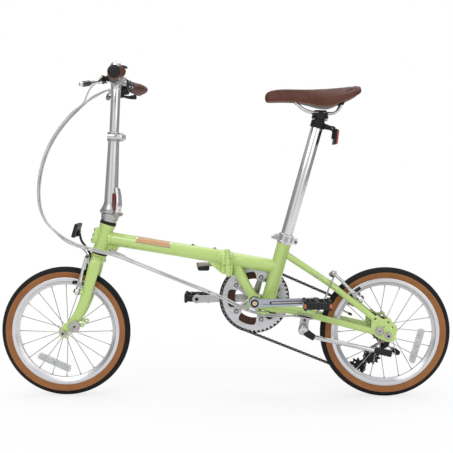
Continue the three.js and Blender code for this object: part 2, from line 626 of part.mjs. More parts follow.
function handlebarCables() {
  const meet = v(-395, -22, 842);
  const left = housing([v(-364, -101, 878), v(-376, -70, 868), v(-385, -45, 856), meet], 5);
  const right = housing([v(-366, 101, 878), v(-374, 60, 866), v(-384, 10, 852), meet], 5);
  const gear = housing([v(-344, 100, 881), v(-356, 60, 872), v(-376, 10, 855), meet], 5);
  const loop = housing([meet, v(-450, -30, 790), v(-495, -34, 720), v(-527, -36, 621), v(-525, -38, 545),
    v(-496, -40, 491)], 10);
  return join(left, right, gear, loop);
}
function forkCable() {
  return housing([v(-494, -37, 487), v(-470, -35, 462), v(-440, -30, 440), v(-421, -14, 424),
    v(-413, 4, 410)], 8);
}
function frameCables() {
  return housing([
    v(-492.6, -45, 487.8), v(-456, -46, 451), v(-410, -57, 430), v(-354, -47, 416), v(-303, -40, 407),
    v(-212, -38, 372), v(-113, -36, 332), v(-13, -34, 289), v(4, -33.6, 281),
  ], 14);
}
function rearCables() {
  const run = housing([v(10, -33.4, 278), v(43, -33, 262), v(80, -30, 242), v(105, -28, 234),
    v(140, -30, 230), v(178, -34, 232)], 8);
  return join(run, rod(bracePoint(8), BRACE.to, BRACE.r, BRACE.r, 5));
}
const cables = new THREE.Group();
cables.add(mesh("handlebar_cables", handlebarCables(), MATERIAL.cable));
cables.add(mesh("fork_brake_cable", forkCable(), MATERIAL.cable));
cables.add(mesh("frame_cables", frameCables(), MATERIAL.cable));
cables.add(mesh("rear_cables", rearCables(), MATERIAL.cable));

function braceFront() {
  return join(
    rod(BRACE.from, bracePoint(5), BRACE.r, BRACE.r, 6),
    rod(bracePoint(-318), bracePoint(-285), 4, 4, 8));
}
cables.add(mesh("brace_wire_front", braceFront(), MATERIAL.steel));

// ---- front frame ----
const frontFrame = new THREE.Group();
const MAIN_SLOPE = Math.atan2(33.8, 210.8);
function mainTubeZ(x) {
  return 449.6 - (x + 311.3) * Math.tan(MAIN_SLOPE);
}
function headWorld(part) {
  return part.rotate([0, THREE.MathUtils.radToDeg(HEAD_LEAN), 0]).translate([HEAD.x, 0, HEAD.z]);
}
function frontFrameSolid() {
  const h = HEAD_TUBE;
  const headTube = headWorld(join(
    rod(v(0, 0, h.bottom), v(0, 0, h.top), h.r, h.r, 16),
    rod(v(0, 0, h.top - 15), v(0, 0, h.top), h.r + 1, h.flare, 16),
    rod(v(0, 0, h.bottom), v(0, 0, h.bottom + 12), h.flare, h.r + 1, 16),
    box(-24, 0, 8, 14, 26, 46),
  ));
  const bore = headWorld(rod(v(0, 0, h.bottom - 10), v(0, 0, h.top + 10), STEERER_R + 0.9, STEERER_R + 0.9,
    16));
  const main = rod(v(HEAD.x + 6, 0, mainTubeZ(HEAD.x + 6)), v(-4, 0, mainTubeZ(-4)), TUBE_R, TUBE_R, 16);
  const gusset = plate([[-356, 413], [-340, 450], [-296, 444], [-306, 424], [-322, 408]], -7, 7);
  const gussetPin = pinY(-324, 420, -21.5, 0, 6, 12);
  const webs = plate([[-46, 398], [-46, 384], [-8, 352], [-3, 352], [-3, 398]], -8, 8);
  const bosses = [-92.5, -30.2].map(
    (x) => rod(v(x, 0, mainTubeZ(x) + 14), v(x + 1, 0, mainTubeZ(x) + 22.4), 5, 5, 12));
  return cut(join(headTube, main, gusset, gussetPin, webs, ...bosses, hingeHalf(-1), latchJaw()), bore);
}

// ---- the folding joint in the main tube ----
const KNUCKLE = { r: 8, pin: 3.4, top: 427, upper: 400, lower: 381, bottom: 349 };
function pinAt(z, extra = 0) {
  const x = FOLD_PIN.x + (z - FOLD_PIN.z) * Math.tan(FOLD_PIN.lean);
  return v(x, FOLD_PIN.y, z + extra);
}
function knuckle(z0, z1, r) {
  return rod(pinAt(z0), pinAt(z1), r, r, 16);
}
// half is -1 for the front plate and 1 for the rear plate.
function hingeHalf(half) {
  const x0 = half < 0 ? -9 : SEAM_X + GAP / 2;
  const x1 = half < 0 ? SEAM_X - GAP / 2 : 23;
  const outline = new THREE.Shape();
  outline.moveTo(-30, 356);
  outline.lineTo(16, 352);
  outline.quadraticCurveTo(27, 356, 27, 372);
  outline.lineTo(27, 404);
  outline.quadraticCurveTo(25, 420, 8, 421);
  outline.lineTo(-30, 420);
  const geometry = new THREE.ExtrudeGeometry(outline,
    { depth: x1 - x0, bevelEnabled: false, curveSegments: 5 });
  // the outline's first axis is Y and its second Z, and it is extruded along X
  geometry.applyMatrix4(new THREE.Matrix4().makeBasis(v(0, 1, 0), v(0, 0, 1), v(1, 0, 0)));
  geometry.translate(x0, 0, 0);
  const face = solid(geometry);
  const spans = half < 0
    ? [[KNUCKLE.lower + GAP, KNUCKLE.upper - GAP]]
    : [[KNUCKLE.bottom, KNUCKLE.lower], [KNUCKLE.upper, KNUCKLE.top]];
  const ownKnuckles = join(...spans.map(([z0, z1]) => knuckle(z0, z1, KNUCKLE.r)));
  const arms = join(...spans.map(([z0, z1]) => {
    const x = half < 0 ? (x0 + SEAM_X) / 2 : (SEAM_X + x1) / 2;
    return box(x, (FOLD_PIN.y - 28) / 2 + 1, (z0 + z1) / 2, 15, 16, Math.min(z1, 419) - z0 - 1);
  }));
  const othersSpans = half < 0
    ? [[KNUCKLE.bottom - 2, KNUCKLE.lower + GAP], [KNUCKLE.upper - GAP, KNUCKLE.top + 2]]
    : [[KNUCKLE.lower, KNUCKLE.upper]];
  const othersRoom = join(...othersSpans.map(([z0, z1]) => knuckle(z0, z1, KNUCKLE.r + 1)));
  const pinHole = knuckle(KNUCKLE.bottom - 5, KNUCKLE.top + 5, KNUCKLE.pin + GAP);
  const seamCut = half < 0
    ? box(SEAM_X + 20 - GAP / 2, -15, 388, 40, 20, 120)
    : box(SEAM_X - 20 + GAP / 2, -15, 388, 40, 20, 120);
  return cut(join(cut(join(face, arms), othersRoom, seamCut), ownKnuckles), pinHole);
}
function foldPin() {
  const shaft = knuckle(KNUCKLE.bottom - 2, KNUCKLE.top + 1, KNUCKLE.pin);
  const cap = rod(pinAt(KNUCKLE.top + GAP), pinAt(KNUCKLE.top + 4), 6.5, 4, 14);
  return join(shaft, cap);
}
const LATCH = { x: -9, y: 36 };
function frameLatch() {
  const head = rod(v(LATCH.x, LATCH.y, 372), v(LATCH.x - 1, LATCH.y, 404), 7.5, 7.5, 12);
  const arm = sweep(
    curve(v(LATCH.x - 2, LATCH.y, 380), v(-24, LATCH.y - 2, 378), v(-50, 33, 375), v(-82, 31, 373)),
    (t) => [8 - 2 * t, 4], { steps: 5, sides: 8, side: v(0, 0, 1) });
  const pad = box(-69, 32, 364, 30, 9, 12);
  return join(head, arm, pad);
}
// The jaw on the front plate that reaches over the edge of the rear plate, where the latch clamps the two.
function latchJaw() {
  return join(box(3.5, 29, 388, 6, 8, 20), box(10, 31.5, 388, 16, 6, 20));
}

frontFrame.add(mesh("front_frame", frontFrameSolid(), MATERIAL.frame));
frontFrame.add(mesh("headset_upper", headWorld(collar(STEERER_R + GAP, 24, HEAD_TUBE.top + GAP, 50, 16)),
  MATERIAL.black));
frontFrame.add(mesh("headset_lower", headWorld(
  collar(STEERER_R + GAP, 24, -48, HEAD_TUBE.bottom - GAP, 16)), MATERIAL.black));
frontFrame.add(mesh("frame_latch_lever", frameLatch(), MATERIAL.alloy));

// ---- rear frame ----
const rearFrame = new THREE.Group();
function seatX(z) {
  return SEAT_TUBE.x + (z - SEAT_TUBE.z) * Math.tan(SEAT_LEAN);
}
function seatPoint(z) {
  return v(seatX(z), 0, z);
}
const STAY_R = 9;
function chainstay(side) {
  return sweep(curve(
    v(106, side * 14, 258), v(150, side * 21, 253), v(190, side * 25, 249), v(300, side * 46, 225),
      v(390, side * 60, 203),
    v(432, side * DROPOUT_Y, 194),
  ), (t) => [STAY_R - 4.5 * t * t, STAY_R], { steps: 7, sides: 8 });
}
function seatStay(side) {
  return sweep(curve(
    v(283, side * 4, 333), v(297, side * 16, 327), v(309, side * 30, 318), v(332, side * 37, 300),
    v(380, side * 55, 265), v(403, side * 61.5, 247), v(428, side * DROPOUT_Y, 227),
  ), (t) => [STAY_R - 4.5 * t * t, STAY_R], { steps: 8, sides: 8 });
}
function dropout(side) {
  const a = side * DROPOUT_Y;
  const b = side * (DROPOUT_Y + 5);
  const outline = [
    [412, 236], [428, 243], [446, 232], [462, 236], [470, 222], [482, 214], [483, 196], [478, 172],
    [456, 168], [436, 176], [420, 186], [414, 205],
  ];
  const y0 = Math.min(a, b);
  const y1 = Math.max(a, b);
  const holes = [[446, 211], [459, 223], [470, 208]].map(([x, z]) => pinY(x, z, y0 - 1, y1 + 1, 3, 6));
  return cut(plate(outline, y0, y1), pinY(REAR_AXLE.x, REAR_AXLE.z, y0 - 1, y1 + 1, AXLE_R + GAP, 16),
    ...holes);
}
const REAR_PIVOT = { x: 384, z: 285, y: 41, lean: THREE.MathUtils.degToRad(-49) };
function rearBoss(side) {
  const base = v(REAR_PIVOT.x, side * REAR_PIVOT.y, REAR_PIVOT.z);
  const inner = base.clone().addScaledVector(armNormal(), -17);
  const face = base.clone().addScaledVector(armNormal(), -6.2);
  const outer = base.clone().addScaledVector(armNormal(), 5);
  return join(rod(inner, face, 7, 7, 10), rod(face, outer, 3.8, 3.8, 8));
}
// The rear brake studs stand square to the seat stays, up and backwards.
function armNormal() {
  return v(Math.cos(REAR_PIVOT.lean), 0, -Math.sin(REAR_PIVOT.lean));
}
function rearFrameSolid() {
  const seatTube = rod(seatPoint(SEAT_TUBE.bottomZ), seatPoint(SEAT_TUBE.topZ), SEAT_TUBE.r + 0.6,
    SEAT_TUBE.r + 0.6, SEAT_SIDES);
  const seatBore = rod(seatPoint(SEAT_TUBE.bottomZ - 40), seatPoint(SEAT_TUBE.topZ + 20),
    SEAT_POST_R + GAP, SEAT_POST_R + GAP, SEAT_SIDES);
  const shell = pinY(CRANK.x, CRANK.z, -34, 34, 20, 16);
  const shellBore = pinY(CRANK.x, CRANK.z, -40, 40, 16.5, 16);
  const main = rod(v(18, 0, 394.6), v(146, 0, 373), TUBE_R, TUBE_R, 16);
  const strut = rod(v(36, 0, 368), v(76, 0, 291), 13.5, 13.5, 14);
  const monoStay = sweep(curve(v(seatX(404), 0, 408), v(230, 0, 371), v(288, 0, 330)),
    () => [STAY_R + 1, STAY_R + 1], { steps: 3, sides: 10 });
  const bridge = rod(v(146, 0, 262), v(152, 0, 240), 6, 6, 10);
  const yoke = box(138, 0, 256, 44, 34, 16, 0.1);
  const guide = box(109, -29, 243, 32, 18, 6, 0.1);
  const guidePost = box(94, -28, 252, 14, 12, 20);
  const braceLug = box(66, -20, 259, 10, 12, 12);
  const wheelSpace = pinY(REAR_AXLE.x, REAR_AXLE.z, -21, 21, TYRE_R + 7, 24);
  const legPlate = join(
    plate([[206, 240], [246, 232], [246, 222], [236, 205], [212, 207]], -54, -36),
    rod(KICK.pivot, KICK.pivot.clone().addScaledVector(KICK.axis, 14), 8, 8, 14));
  const hanger = plate([[448, 174], [470, 174], [474, 150], [466, 142], [456, 146]], DROPOUT_Y,
    DROPOUT_Y + 5);
  const whole = join(
    seatTube, shell, main, strut, monoStay, bridge, yoke, guide, guidePost, braceLug,
    chainstay(-1), chainstay(1), seatStay(-1), seatStay(1), dropout(-1), dropout(1), hanger,
    rearBoss(-1), rearBoss(1), legPlate, hingeHalf(1));
  return cut(whole, wheelSpace, seatBore, shellBore);
}

// ---- kickstand: its pivot axis is tilted, so that the leg swings down and outwards ----
const KICK = {
  pivot: v(222, -60, 202),
  axis: v(0.05, 0.93, 0.36).normalize(),
};
function kickstand() {
  const start = KICK.pivot;
  const outward = KICK.axis.clone().multiplyScalar(-1);
  const housingEnd = v(248, -70, 181);
  const hubPart = rod(start.clone().addScaledVector(outward, 1),
    start.clone().addScaledVector(outward, 13), 14.5, 14.5, 14);
  const middle = start.clone().addScaledVector(outward, 9);
  const block = rod(middle, housingEnd, 7, 8, 8);
  const leg = rod(housingEnd.clone().add(v(-8, 1, 4)), v(428, -76, 143.6), 5.6, 5.6, 12);
  const foot = rod(v(420, -75.8, 145), v(466, -77, 136.5), 8.5, 9.5, 12);
  return join(hubPart, block, leg, foot);
}

rearFrame.add(mesh("rear_frame", rearFrameSolid(), MATERIAL.frame));
rearFrame.add(mesh("frame_hinge_pin", foldPin(), MATERIAL.steel));
rearFrame.add(mesh("kickstand_leg", kickstand(), MATERIAL.alloy));
rearFrame.add(mesh("bottom_bracket", at(ring(8.9, 15.9, -35.5, 35.5, 16), CRANK.x, 0, CRANK.z),
  MATERIAL.steel));

const rearAxle = new THREE.Group();
rearAxle.position.set(REAR_AXLE.x, 0, REAR_AXLE.z);
rearAxle.add(mesh("rear_axle", join(
  axleWithNuts(82, DROPOUT_Y + 8), magnetStrap(-24.5, 13, -DROPOUT_Y - 7.8, 11.5, 4)), MATERIAL.steel));

// ---- seat ----
const seat = new THREE.Group();
function seatPost() {
  return rod(seatPoint(300), seatPoint(SEAT_TOP_Z - 20), SEAT_POST_R, SEAT_POST_R, SEAT_SIDES);
}
function seatClampCollar() {
  const low = seatPoint(SEAT_TUBE.topZ + GAP);
  const high = seatPoint(SEAT_TUBE.topZ + 28);
  const band = rod(low, high, 22, 22, SEAT_SIDES);
  const ear = box(seatX(452) + 27, 0, 445, 14, 20, 18, SEAT_LEAN);
  const nut = pinY(seatX(460) - 26, 459, -9, 9, 9, 14);
  const bore = rod(seatPoint(430), seatPoint(480), SEAT_POST_R + GAP, SEAT_POST_R + GAP, SEAT_SIDES);
  return cut(join(band, ear, nut), bore);
}
function seatClampLever() {
  const x = seatX(452) + 29;
  return join(
    rod(v(x - 1.8, 17.6, 437), v(x + 1.8, 17.6, 450), 6, 6, 12),
    tube([v(x, 20, 444), v(x - 12, 28, 446), v(x - 44, 29, 452), v(x - 66, 24, 458)], 4.5,
      { steps: 5, sides: 8, side: v(0, 0, 1) }));
}
rearFrame.add(mesh("seat_clamp", seatClampCollar(), MATERIAL.alloy));
rearFrame.add(mesh("seat_clamp_lever", seatClampLever(), MATERIAL.alloy));

// The saddle's half width and its upper and lower edge at each place along it.
const SADDLE = [
  { x: 117, half: 10, top: 862, low: 846 }, { x: 128, half: 19, top: 872, low: 842 },
  { x: 165, half: 24, top: 877.5, low: 842 }, { x: 205, half: 28, top: 878, low: 841 },
  { x: 245, half: 40, top: 877.5, low: 833 }, { x: 285, half: 62, top: 878, low: 828 },
  { x: 325, half: 78, top: 881, low: 836 }, { x: 358, half: 76, top: 885, low: 850 },
  { x: 380, half: 55, top: 884, low: 866 },
];
function saddle() {
  const steps = SADDLE.length - 1;
  const geometry = new THREE.CylinderGeometry(1, 1, 1, 14, steps);
  const position = geometry.attributes.position;
  for (let i = 0; i < position.count; i++) {
    const s = SADDLE[Math.round((position.getY(i) + 0.5) * steps)];
    const middle = (s.top + s.low) / 2;
    position.setXYZ(i, s.x, position.getX(i) * s.half, middle + (position.getZ(i) * (s.top - s.low)) / 2);
  }
  return solid(geometry);
}
function saddleRails() {
  const rails = [-1, 1].map((side) => tube([
    v(200, side * 12, 843), v(212, side * 16, 829), v(240, side * 22, 815), v(270, side * 22, 811),
      v(300, side * 22, 809),
    v(318, side * 28, 815), v(330, side * 40, 838),
  ], 3.5, { steps: 10, sides: 6 }));
  const clamp = box(270, 0, 805, 44, 56, 18);
  const saddleRoom = saddle();
  const neck = rod(seatPoint(SEAT_TOP_Z - 19.6), seatPoint(SEAT_TOP_Z), 15, 15, 14);
  const bridge = box(203, 0, 838, 8, 26, 6);
  return cut(join(...rails, clamp, neck, bridge),
    saddleRoom.scale([1.004, 1.004, 1]).translate([-1, 0, -0.4]), saddleRoom);
}
function rearReflector() {
  const band = collar(SEAT_POST_R + GAP, 21, -9, 9, SEAT_SIDES)
    .rotate([0, THREE.MathUtils.radToDeg(SEAT_LEAN), 0])
    .translate(seatPoint(774).toArray());
  const arm = box(300, 0, 768, 36, 9, 9);
  const bracket = box(315, 0, 752, 13, 24, 34, 0.1);
  const lens = box(323, 0, 742, 9, 70, 44, 0.12);
  const postRoom = rod(seatPoint(740), seatPoint(800), SEAT_POST_R + GAP, SEAT_POST_R + GAP, SEAT_SIDES);
  return cut(join(band, box(285, 0, 771, 12, 12, 12), arm, bracket, lens), postRoom);
}
seat.add(mesh("seat_post", seatPost(), MATERIAL.alloy));
seat.add(mesh("saddle", saddle(), MATERIAL.leather));
seat.add(mesh("saddle_rails", saddleRails(), MATERIAL.steel));
seat.add(mesh("rear_reflector", rearReflector(), MATERIAL.redLens));

// ---- drive ----
const drive = new THREE.Group();
function crankPoint(angle, along, y) {
  return v(CRANK.x + along * Math.cos(angle), y, CRANK.z + along * Math.sin(angle));
}
function crankArm(angle, side) {
  const y0 = side * 64;
  const y1 = side * 76;
  const arm = sweep(
    curve(crankPoint(angle, 0, y0), crankPoint(angle, 60, y0 + side * 4),
      crankPoint(angle, CRANK.length, y1)),
    (t) => [6.5, 13 - 3 * t], { steps: 5, sides: 10 });
  const tip = crankPoint(angle, CRANK.length, 0);
  const end = pinY(tip.x, tip.z, Math.min(side * 69, side * 83), Math.max(side * 69, side * 83), 13, 12);
  const boss = pinY(CRANK.x, CRANK.z, Math.min(side * 55, side * 72), Math.max(side * 55, side * 72), 15,
    14);
  const axle = pinY(tip.x, tip.z, Math.min(side * 80, side * 172), Math.max(side * 80, side * 172), 4.5, 8);
  return join(arm, end, boss, axle);
}
const LEFT_ANGLE = CRANK.angle;
const RIGHT_ANGLE = CRANK.angle + Math.PI;
const BOLT_R = 65;
const ARMS = 5;
const RING_INNER_R = 57;
function crankRight() {
  const parts = [crankArm(RIGHT_ANGLE, 1)];
  for (let i = 0; i < ARMS; i++) {
    const a = (i * 2 * Math.PI) / ARMS;
    const tip = crankPoint(a, BOLT_R, 55);
    parts.push(sweep(
      curve(crankPoint(a, 8, 60), crankPoint(a, 38, 57.5), tip), (t) => [3, 10 - 3 * t],
        { steps: 3, sides: 8 }));
    parts.push(pinY(tip.x, tip.z, 51.6, 58, 7.5, 10), pinY(tip.x, tip.z, CHAIN_Y - 2, 52, 4, 8));
  }
  const spindle = pinY(CRANK.x, CRANK.z, -54.6, 60, 8.2, 12);
  return join(...parts, spindle);
}
// A flat ring on the crank axis, open in the middle and drilled for the bolts of the five arms.
function drilledRing(shape, y0, y1) {
  const middle = new THREE.Path();
  middle.absarc(0, 0, RING_INNER_R, 0, 2 * Math.PI);
  shape.holes.push(middle);
  const flat = at(plate(shape, y0, y1, 14), CRANK.x, 0, CRANK.z);
  const holes = [];
  for (let i = 0; i < ARMS; i++) {
    const place = crankPoint((i * 2 * Math.PI) / ARMS, BOLT_R, 0);
    holes.push(pinY(place.x, place.z, y0 - 1, y1 + 1, 4 + GAP, 8));
  }
  return cut(flat, ...holes);
}
function chainring() {
  return drilledRing(sprocketShape(CHAINRING_TEETH), CHAIN_Y - 1, CHAIN_Y + 1);
}
function chainGuard() {
  const disc = new THREE.Shape();
  disc.absarc(0, 0, 102.6, 0, 2 * Math.PI);
  return drilledRing(disc, 48.4, 51.3);
}
drive.add(mesh("crank_right", crankRight(), MATERIAL.alloy));
drive.add(mesh("crank_left", cut(crankArm(LEFT_ANGLE, -1), pinY(CRANK.x, CRANK.z, -90, 0, 4, 10)),
  MATERIAL.alloy));
drive.add(mesh("chainring", chainring(), MATERIAL.alloy));
drive.add(mesh("chain_guard", chainGuard(), MATERIAL.guard));

function pedal(angle, side) {
  const centre = crankPoint(angle, CRANK.length, 0);
  const y0 = Math.min(side * 84, side * 176);
  const y1 = Math.max(side * 84, side * 176);
  const body = box(0, (y0 + y1) / 2, 0, 76, y1 - y0, 26);
  const windows = [-1, 1].map((way) => box(way * 20, (y0 + y1) / 2 + side * 4, 0, 20, 62, 40));
  const barrel = pinY(0, 0, y0, y1, 11, 14);
  const bore = pinY(0, 0, y0 - 5, y1 + 5, 4.5 + GAP, 14);
  const group = new THREE.Group();
  group.position.copy(centre);
  group.add(mesh(side < 0 ? "pedal_left" : "pedal_right", cut(join(cut(body, ...windows), barrel), bore),
    MATERIAL.black));
  return group;
}
drive.add(pedal(LEFT_ANGLE, -1), pedal(RIGHT_ANGLE, 1));

function cassette() {
  const cogs = [17, 16, 15, 14, 13].map((teeth, i) => sprocket(teeth, CHAIN_Y + (i - 2) * 4.8, 2));
  return cut(join(...cogs, pinY(0, 0, 31, 56, 17, 12)), pinY(0, 0, 20, 60, 9, 10));
}
const cassetteGroup = new THREE.Group();
cassetteGroup.position.set(REAR_AXLE.x, 0, REAR_AXLE.z);
cassetteGroup.add(mesh("cassette", cassette(), MATERIAL.steel));
drive.add(cassetteGroup);

function jockey(name, place) {
  const group = new THREE.Group();
  group.position.set(place.x, 0, place.z);
  const wheelPart = cut(sprocket(JOCKEY_TEETH, CHAIN_Y, 2),
    pinY(0, 0, CHAIN_Y - 4, CHAIN_Y + 4, 3.4 + GAP, 12));
  group.add(mesh(name, wheelPart, MATERIAL.black));
  return group;
}
drive.add(jockey("jockey_wheel_upper", JOCKEY_UPPER), jockey("jockey_wheel_lower", JOCKEY_LOWER));

function derailleur() {
  const body = box(468, 79, 140, 34, 16, 22, 0.45);
  const hangerBolt = pinY(463, 151, DROPOUT_Y + 5 + GAP, 84, 7, 14);
  const linkage = box(452, 66, 118, 34, 18, 14, 0.6);
  const reach = box(458, 72, 130, 20, 22, 16, 0.5);
  const cageY = CHAIN_Y + 6;
  const cageOutline = (grow) => {
    const angle = Math.atan2(JOCKEY_LOWER.z - JOCKEY_UPPER.z, JOCKEY_LOWER.x - JOCKEY_UPPER.x);
    return join(
      pinY(JOCKEY_UPPER.x, JOCKEY_UPPER.z, cageY, cageY + 2.5, 12 + grow, 16),
      pinY(JOCKEY_LOWER.x, JOCKEY_LOWER.z, cageY, cageY + 2.5, 10 + grow, 16),
      box((JOCKEY_UPPER.x + JOCKEY_LOWER.x) / 2, cageY + 1.25, (JOCKEY_UPPER.z + JOCKEY_LOWER.z) / 2, 52,
        2.5, 14, -angle));
  };
  const outer = cageOutline(0);
  const inner = outer.translate([0, -14.5, 0]);
  const pins = [JOCKEY_UPPER, JOCKEY_LOWER].map(({ x, z }) => pinY(x, z, cageY - 13, cageY + 1, 3.4, 12));
  const pivot = rod(v(444, 62, 112), v(431, cageY + 1, 108), 8, 8, 12);
  const barrel = rod(v(480, 79, 132), v(515, 79, 106), 4, 5, 10);
  return join(outer, inner, ...pins, pivot, linkage, reach, body, hangerBolt, barrel);
}
rearFrame.add(mesh("rear_derailleur", derailleur(), MATERIAL.black));
rearFrame.add(mesh("chain", chain(), MATERIAL.steel));

// ---- the whole bicycle ----
const bicycle = new THREE.Group();
bicycle.add(
  rearFrame, rearAxle, seat, drive, frontFrame, frontAxle, steering, post, bars, cables,
  wheel("front", FRONT_AXLE, hub(25, 18, 11, AXLE_R + GAP, 0)),
  wheel("rear", REAR_AXLE, hub(24, 22, 13, AXLE_R + GAP, 0.9, -30)),
);

for (const side of [-1, 1]) {
  const name = side < 0 ? "rear_brake_arm_left" : "rear_brake_arm_right";
  const arm = side < 0 ? join(brakeArm(side, 1), noodle(side, 14)) : brakeArm(side, 1);
  const group = new THREE.Group();
  group.position.set(REAR_PIVOT.x, side * REAR_PIVOT.y, REAR_PIVOT.z);
  group.rotation.y = REAR_PIVOT.lean;
  group.add(mesh(name, arm, MATERIAL.steel));
  bicycle.add(group);
}

export default bicycle;
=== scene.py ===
"""A folding bicycle with 16-inch wheels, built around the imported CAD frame.

The bicycle faces -X and its drive side is +Y. Shapes are in millimetres, scaled once, in Piece.done().
"""

from math import (asin, atan2, ceil, copysign, cos, degrees, exp, hypot, pi, radians, sin, sqrt, tan)

import bmesh
import bpy
from mathutils import Matrix, Vector


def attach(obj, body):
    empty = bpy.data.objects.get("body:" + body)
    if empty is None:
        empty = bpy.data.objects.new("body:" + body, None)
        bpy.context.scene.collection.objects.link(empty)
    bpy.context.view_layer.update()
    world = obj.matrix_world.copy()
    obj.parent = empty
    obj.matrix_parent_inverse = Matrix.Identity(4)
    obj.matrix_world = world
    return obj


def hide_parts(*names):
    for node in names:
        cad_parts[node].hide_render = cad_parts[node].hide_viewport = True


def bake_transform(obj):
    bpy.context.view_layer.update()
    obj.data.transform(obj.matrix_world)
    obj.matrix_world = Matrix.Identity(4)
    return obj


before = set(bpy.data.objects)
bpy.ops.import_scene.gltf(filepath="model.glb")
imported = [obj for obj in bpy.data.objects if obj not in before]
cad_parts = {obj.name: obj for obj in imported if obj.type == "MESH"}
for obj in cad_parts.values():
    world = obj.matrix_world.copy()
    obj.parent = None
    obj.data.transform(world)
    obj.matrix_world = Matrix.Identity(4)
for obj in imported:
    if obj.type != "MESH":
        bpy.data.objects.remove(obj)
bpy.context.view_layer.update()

MM = 0.001
TURN = 2 * pi
V = Vector
UP = V((0, 0, 1))


# ---------------------------------------------------------------- driving dimensions, as in the CAD part
FRONT_AXLE = V((-458.75, 0, 186))
REAR_AXLE = V((458.75, 0, 186))
TREAD_EDGE_R = 172.4
RIM_INNER_R = 134.5
SPOKES = 20
HEAD = Matrix.Translation((-348.4, 0, 454.4)) @ Matrix.Rotation(radians(16.5), 4, "Y")
POST = Matrix.Translation((-328.5, 0, 525)) @ Matrix.Rotation(radians(2.9), 4, "Y")
CLAMP_TOP = 232
BAR_R = 12.7
GRIP_END = 290
CRANK = V((84.7, 0, 275.5))
CRANK_LENGTH = 170
CRANK_ANGLE = radians(2.3)
BOLT_CIRCLE_R = 65
CHAIN_Y = 44
PITCH = 12.7
JOCKEY_UPPER = V((429, 0, 106.6))
JOCKEY_LOWER = V((385.5, 0, 76.9))
TUBE_R = 19.5
SEAT_LEAN = radians(15.6)
BRAKE_BOSS = 40
REAR_PIVOT = V((384, 41, 285))
REAR_ARM_LEAN = radians(-49)


def seat(z):
    """A point on the seat tube's axis."""
    return V((165 + (z - 423) * tan(SEAT_LEAN), 0, z))


def main_tube(x):
    """A point on the main tube's axis."""
    return V((x, 0, 449.6 - (x + 311.3) * 33.8 / 210.8))


def bar(y):
    """A point on the handlebar's axis: straight in the middle, swept back outside it."""
    out = min(max((abs(y) - 55) / (GRIP_END - 55), 0), 1)
    return V((-310 + 33 * out, y, 906 - 6 * out))


# ---------------------------------------------------------------- materials
class Nodes:
    """A node tree whose nodes are wired as they are made."""

    def __init__(self, tree):
        self.tree = tree

    def node(self, kind, **settings):
        """Lower-case settings are the node's own. The others are inputs, by name, or by number as in i0."""
        made = self.tree.nodes.new("ShaderNode" + kind)
        for key, value in settings.items():
            numbered = key[1:].isdigit()
            if key.islower() and not numbered:
                setattr(made, key, value)
                continue
            socket = made.inputs[int(key[1:]) if numbered else key.replace("_", " ")]
            if isinstance(value, bpy.types.NodeSocket):
                self.tree.links.new(value, socket)
            else:
                socket.default_value = value
        return made

    def remap(self, value, low, high, start=0.3, end=0.7, **settings):
        """Low to high as value goes from start to end."""
        made = self.node(
            "MapRange", Value=value, From_Min=start, From_Max=end, To_Min=low, To_Max=high, **settings,
        )
        return made.outputs["Result"]

    def ease(self, value, start, end, low, high):
        return self.remap(value, low, high, start, end, interpolation_type="SMOOTHSTEP")

    def math(self, operation, *values):
        return self.node("Math", operation=operation, **{f"i{i}": v for i, v in enumerate(values)}).outputs[0]


class Shader(Nodes):
    """One Principled material, built up from texture nodes."""

    def __init__(self, name, colour, roughness, metallic=0.0, **extra):
        self.material = bpy.data.materials.new(name)
        self.material.use_nodes = True
        super().__init__(self.material.node_tree)
        self.main = self.tree.nodes["Principled BSDF"]
        self.colour = (*colour, 1)
        self.main.inputs["Base Color"].default_value = self.colour
        self.main.inputs["Roughness"].default_value = roughness
        self.main.inputs["Metallic"].default_value = metallic
        for key, value in extra.items():
            self.main.inputs[key.replace("_", " ")].default_value = value
        self.roughness = roughness
        self.place = self.node("TexCoord").outputs["Object"]
        self.height = None
        self.material.diffuse_color = self.colour

    def stretch(self, x, y, z):
        return self.node("Mapping", Vector=self.place, Scale=(x, y, z)).outputs["Vector"]

    def noise(self, scale, detail=3.0, place=None):
        return self.node("TexNoise", Vector=place or self.place, Scale=scale, Detail=detail).outputs["Fac"]

    def tint(self, factor, other):
        """Moves the base colour towards other where factor is high."""
        base = self.main.inputs["Base Color"]
        source = base.links[0].from_socket if base.links else self.colour
        mix = self.node("Mix", data_type="RGBA", Factor=factor, A=source, B=(*other, 1))
        self.tree.links.new(mix.outputs["Result"], base)
        return self

    def mottle(self, scale, share, other, detail=3.0):
        return self.tint(self.remap(self.noise(scale, detail), 0, share), other)

    def scuff(self, scale, spread):
        """Roughness that varies over the surface."""
        value = self.remap(self.noise(scale, 4), self.roughness - spread, self.roughness + spread)
        self.tree.links.new(value, self.main.inputs["Roughness"])
        return self

    def bump(self, height, strength, distance=0.0004):
        made = self.node("Bump", Strength=strength, Distance=distance, Height=height)
        if self.height:
            self.tree.links.new(self.height, made.inputs["Normal"])
        self.height = made.outputs["Normal"]
        self.tree.links.new(self.height, self.main.inputs["Normal"])
        return self

    def wear(self, colour, share=0.6):
        """A worn line along outside edges."""
        edge = self.node("NewGeometry").outputs["Pointiness"]
        return self.tint(self.remap(edge, 0, share, 0.53, 0.62), colour)

    def cells(self, scale, feature="F1"):
        return self.node("TexVoronoi", feature=feature, Vector=self.place, Scale=scale).outputs["Distance"]

    def wave(self, scale, kind, axis, distortion=0.0):
        direction = {"BANDS": "bands_direction", "RINGS": "rings_direction"}[kind]
        settings = {"wave_type": kind, direction: axis}
        made = self.node("TexWave", Vector=self.place, Scale=scale, Distortion=distortion, **settings)
        return made.outputs["Fac"]


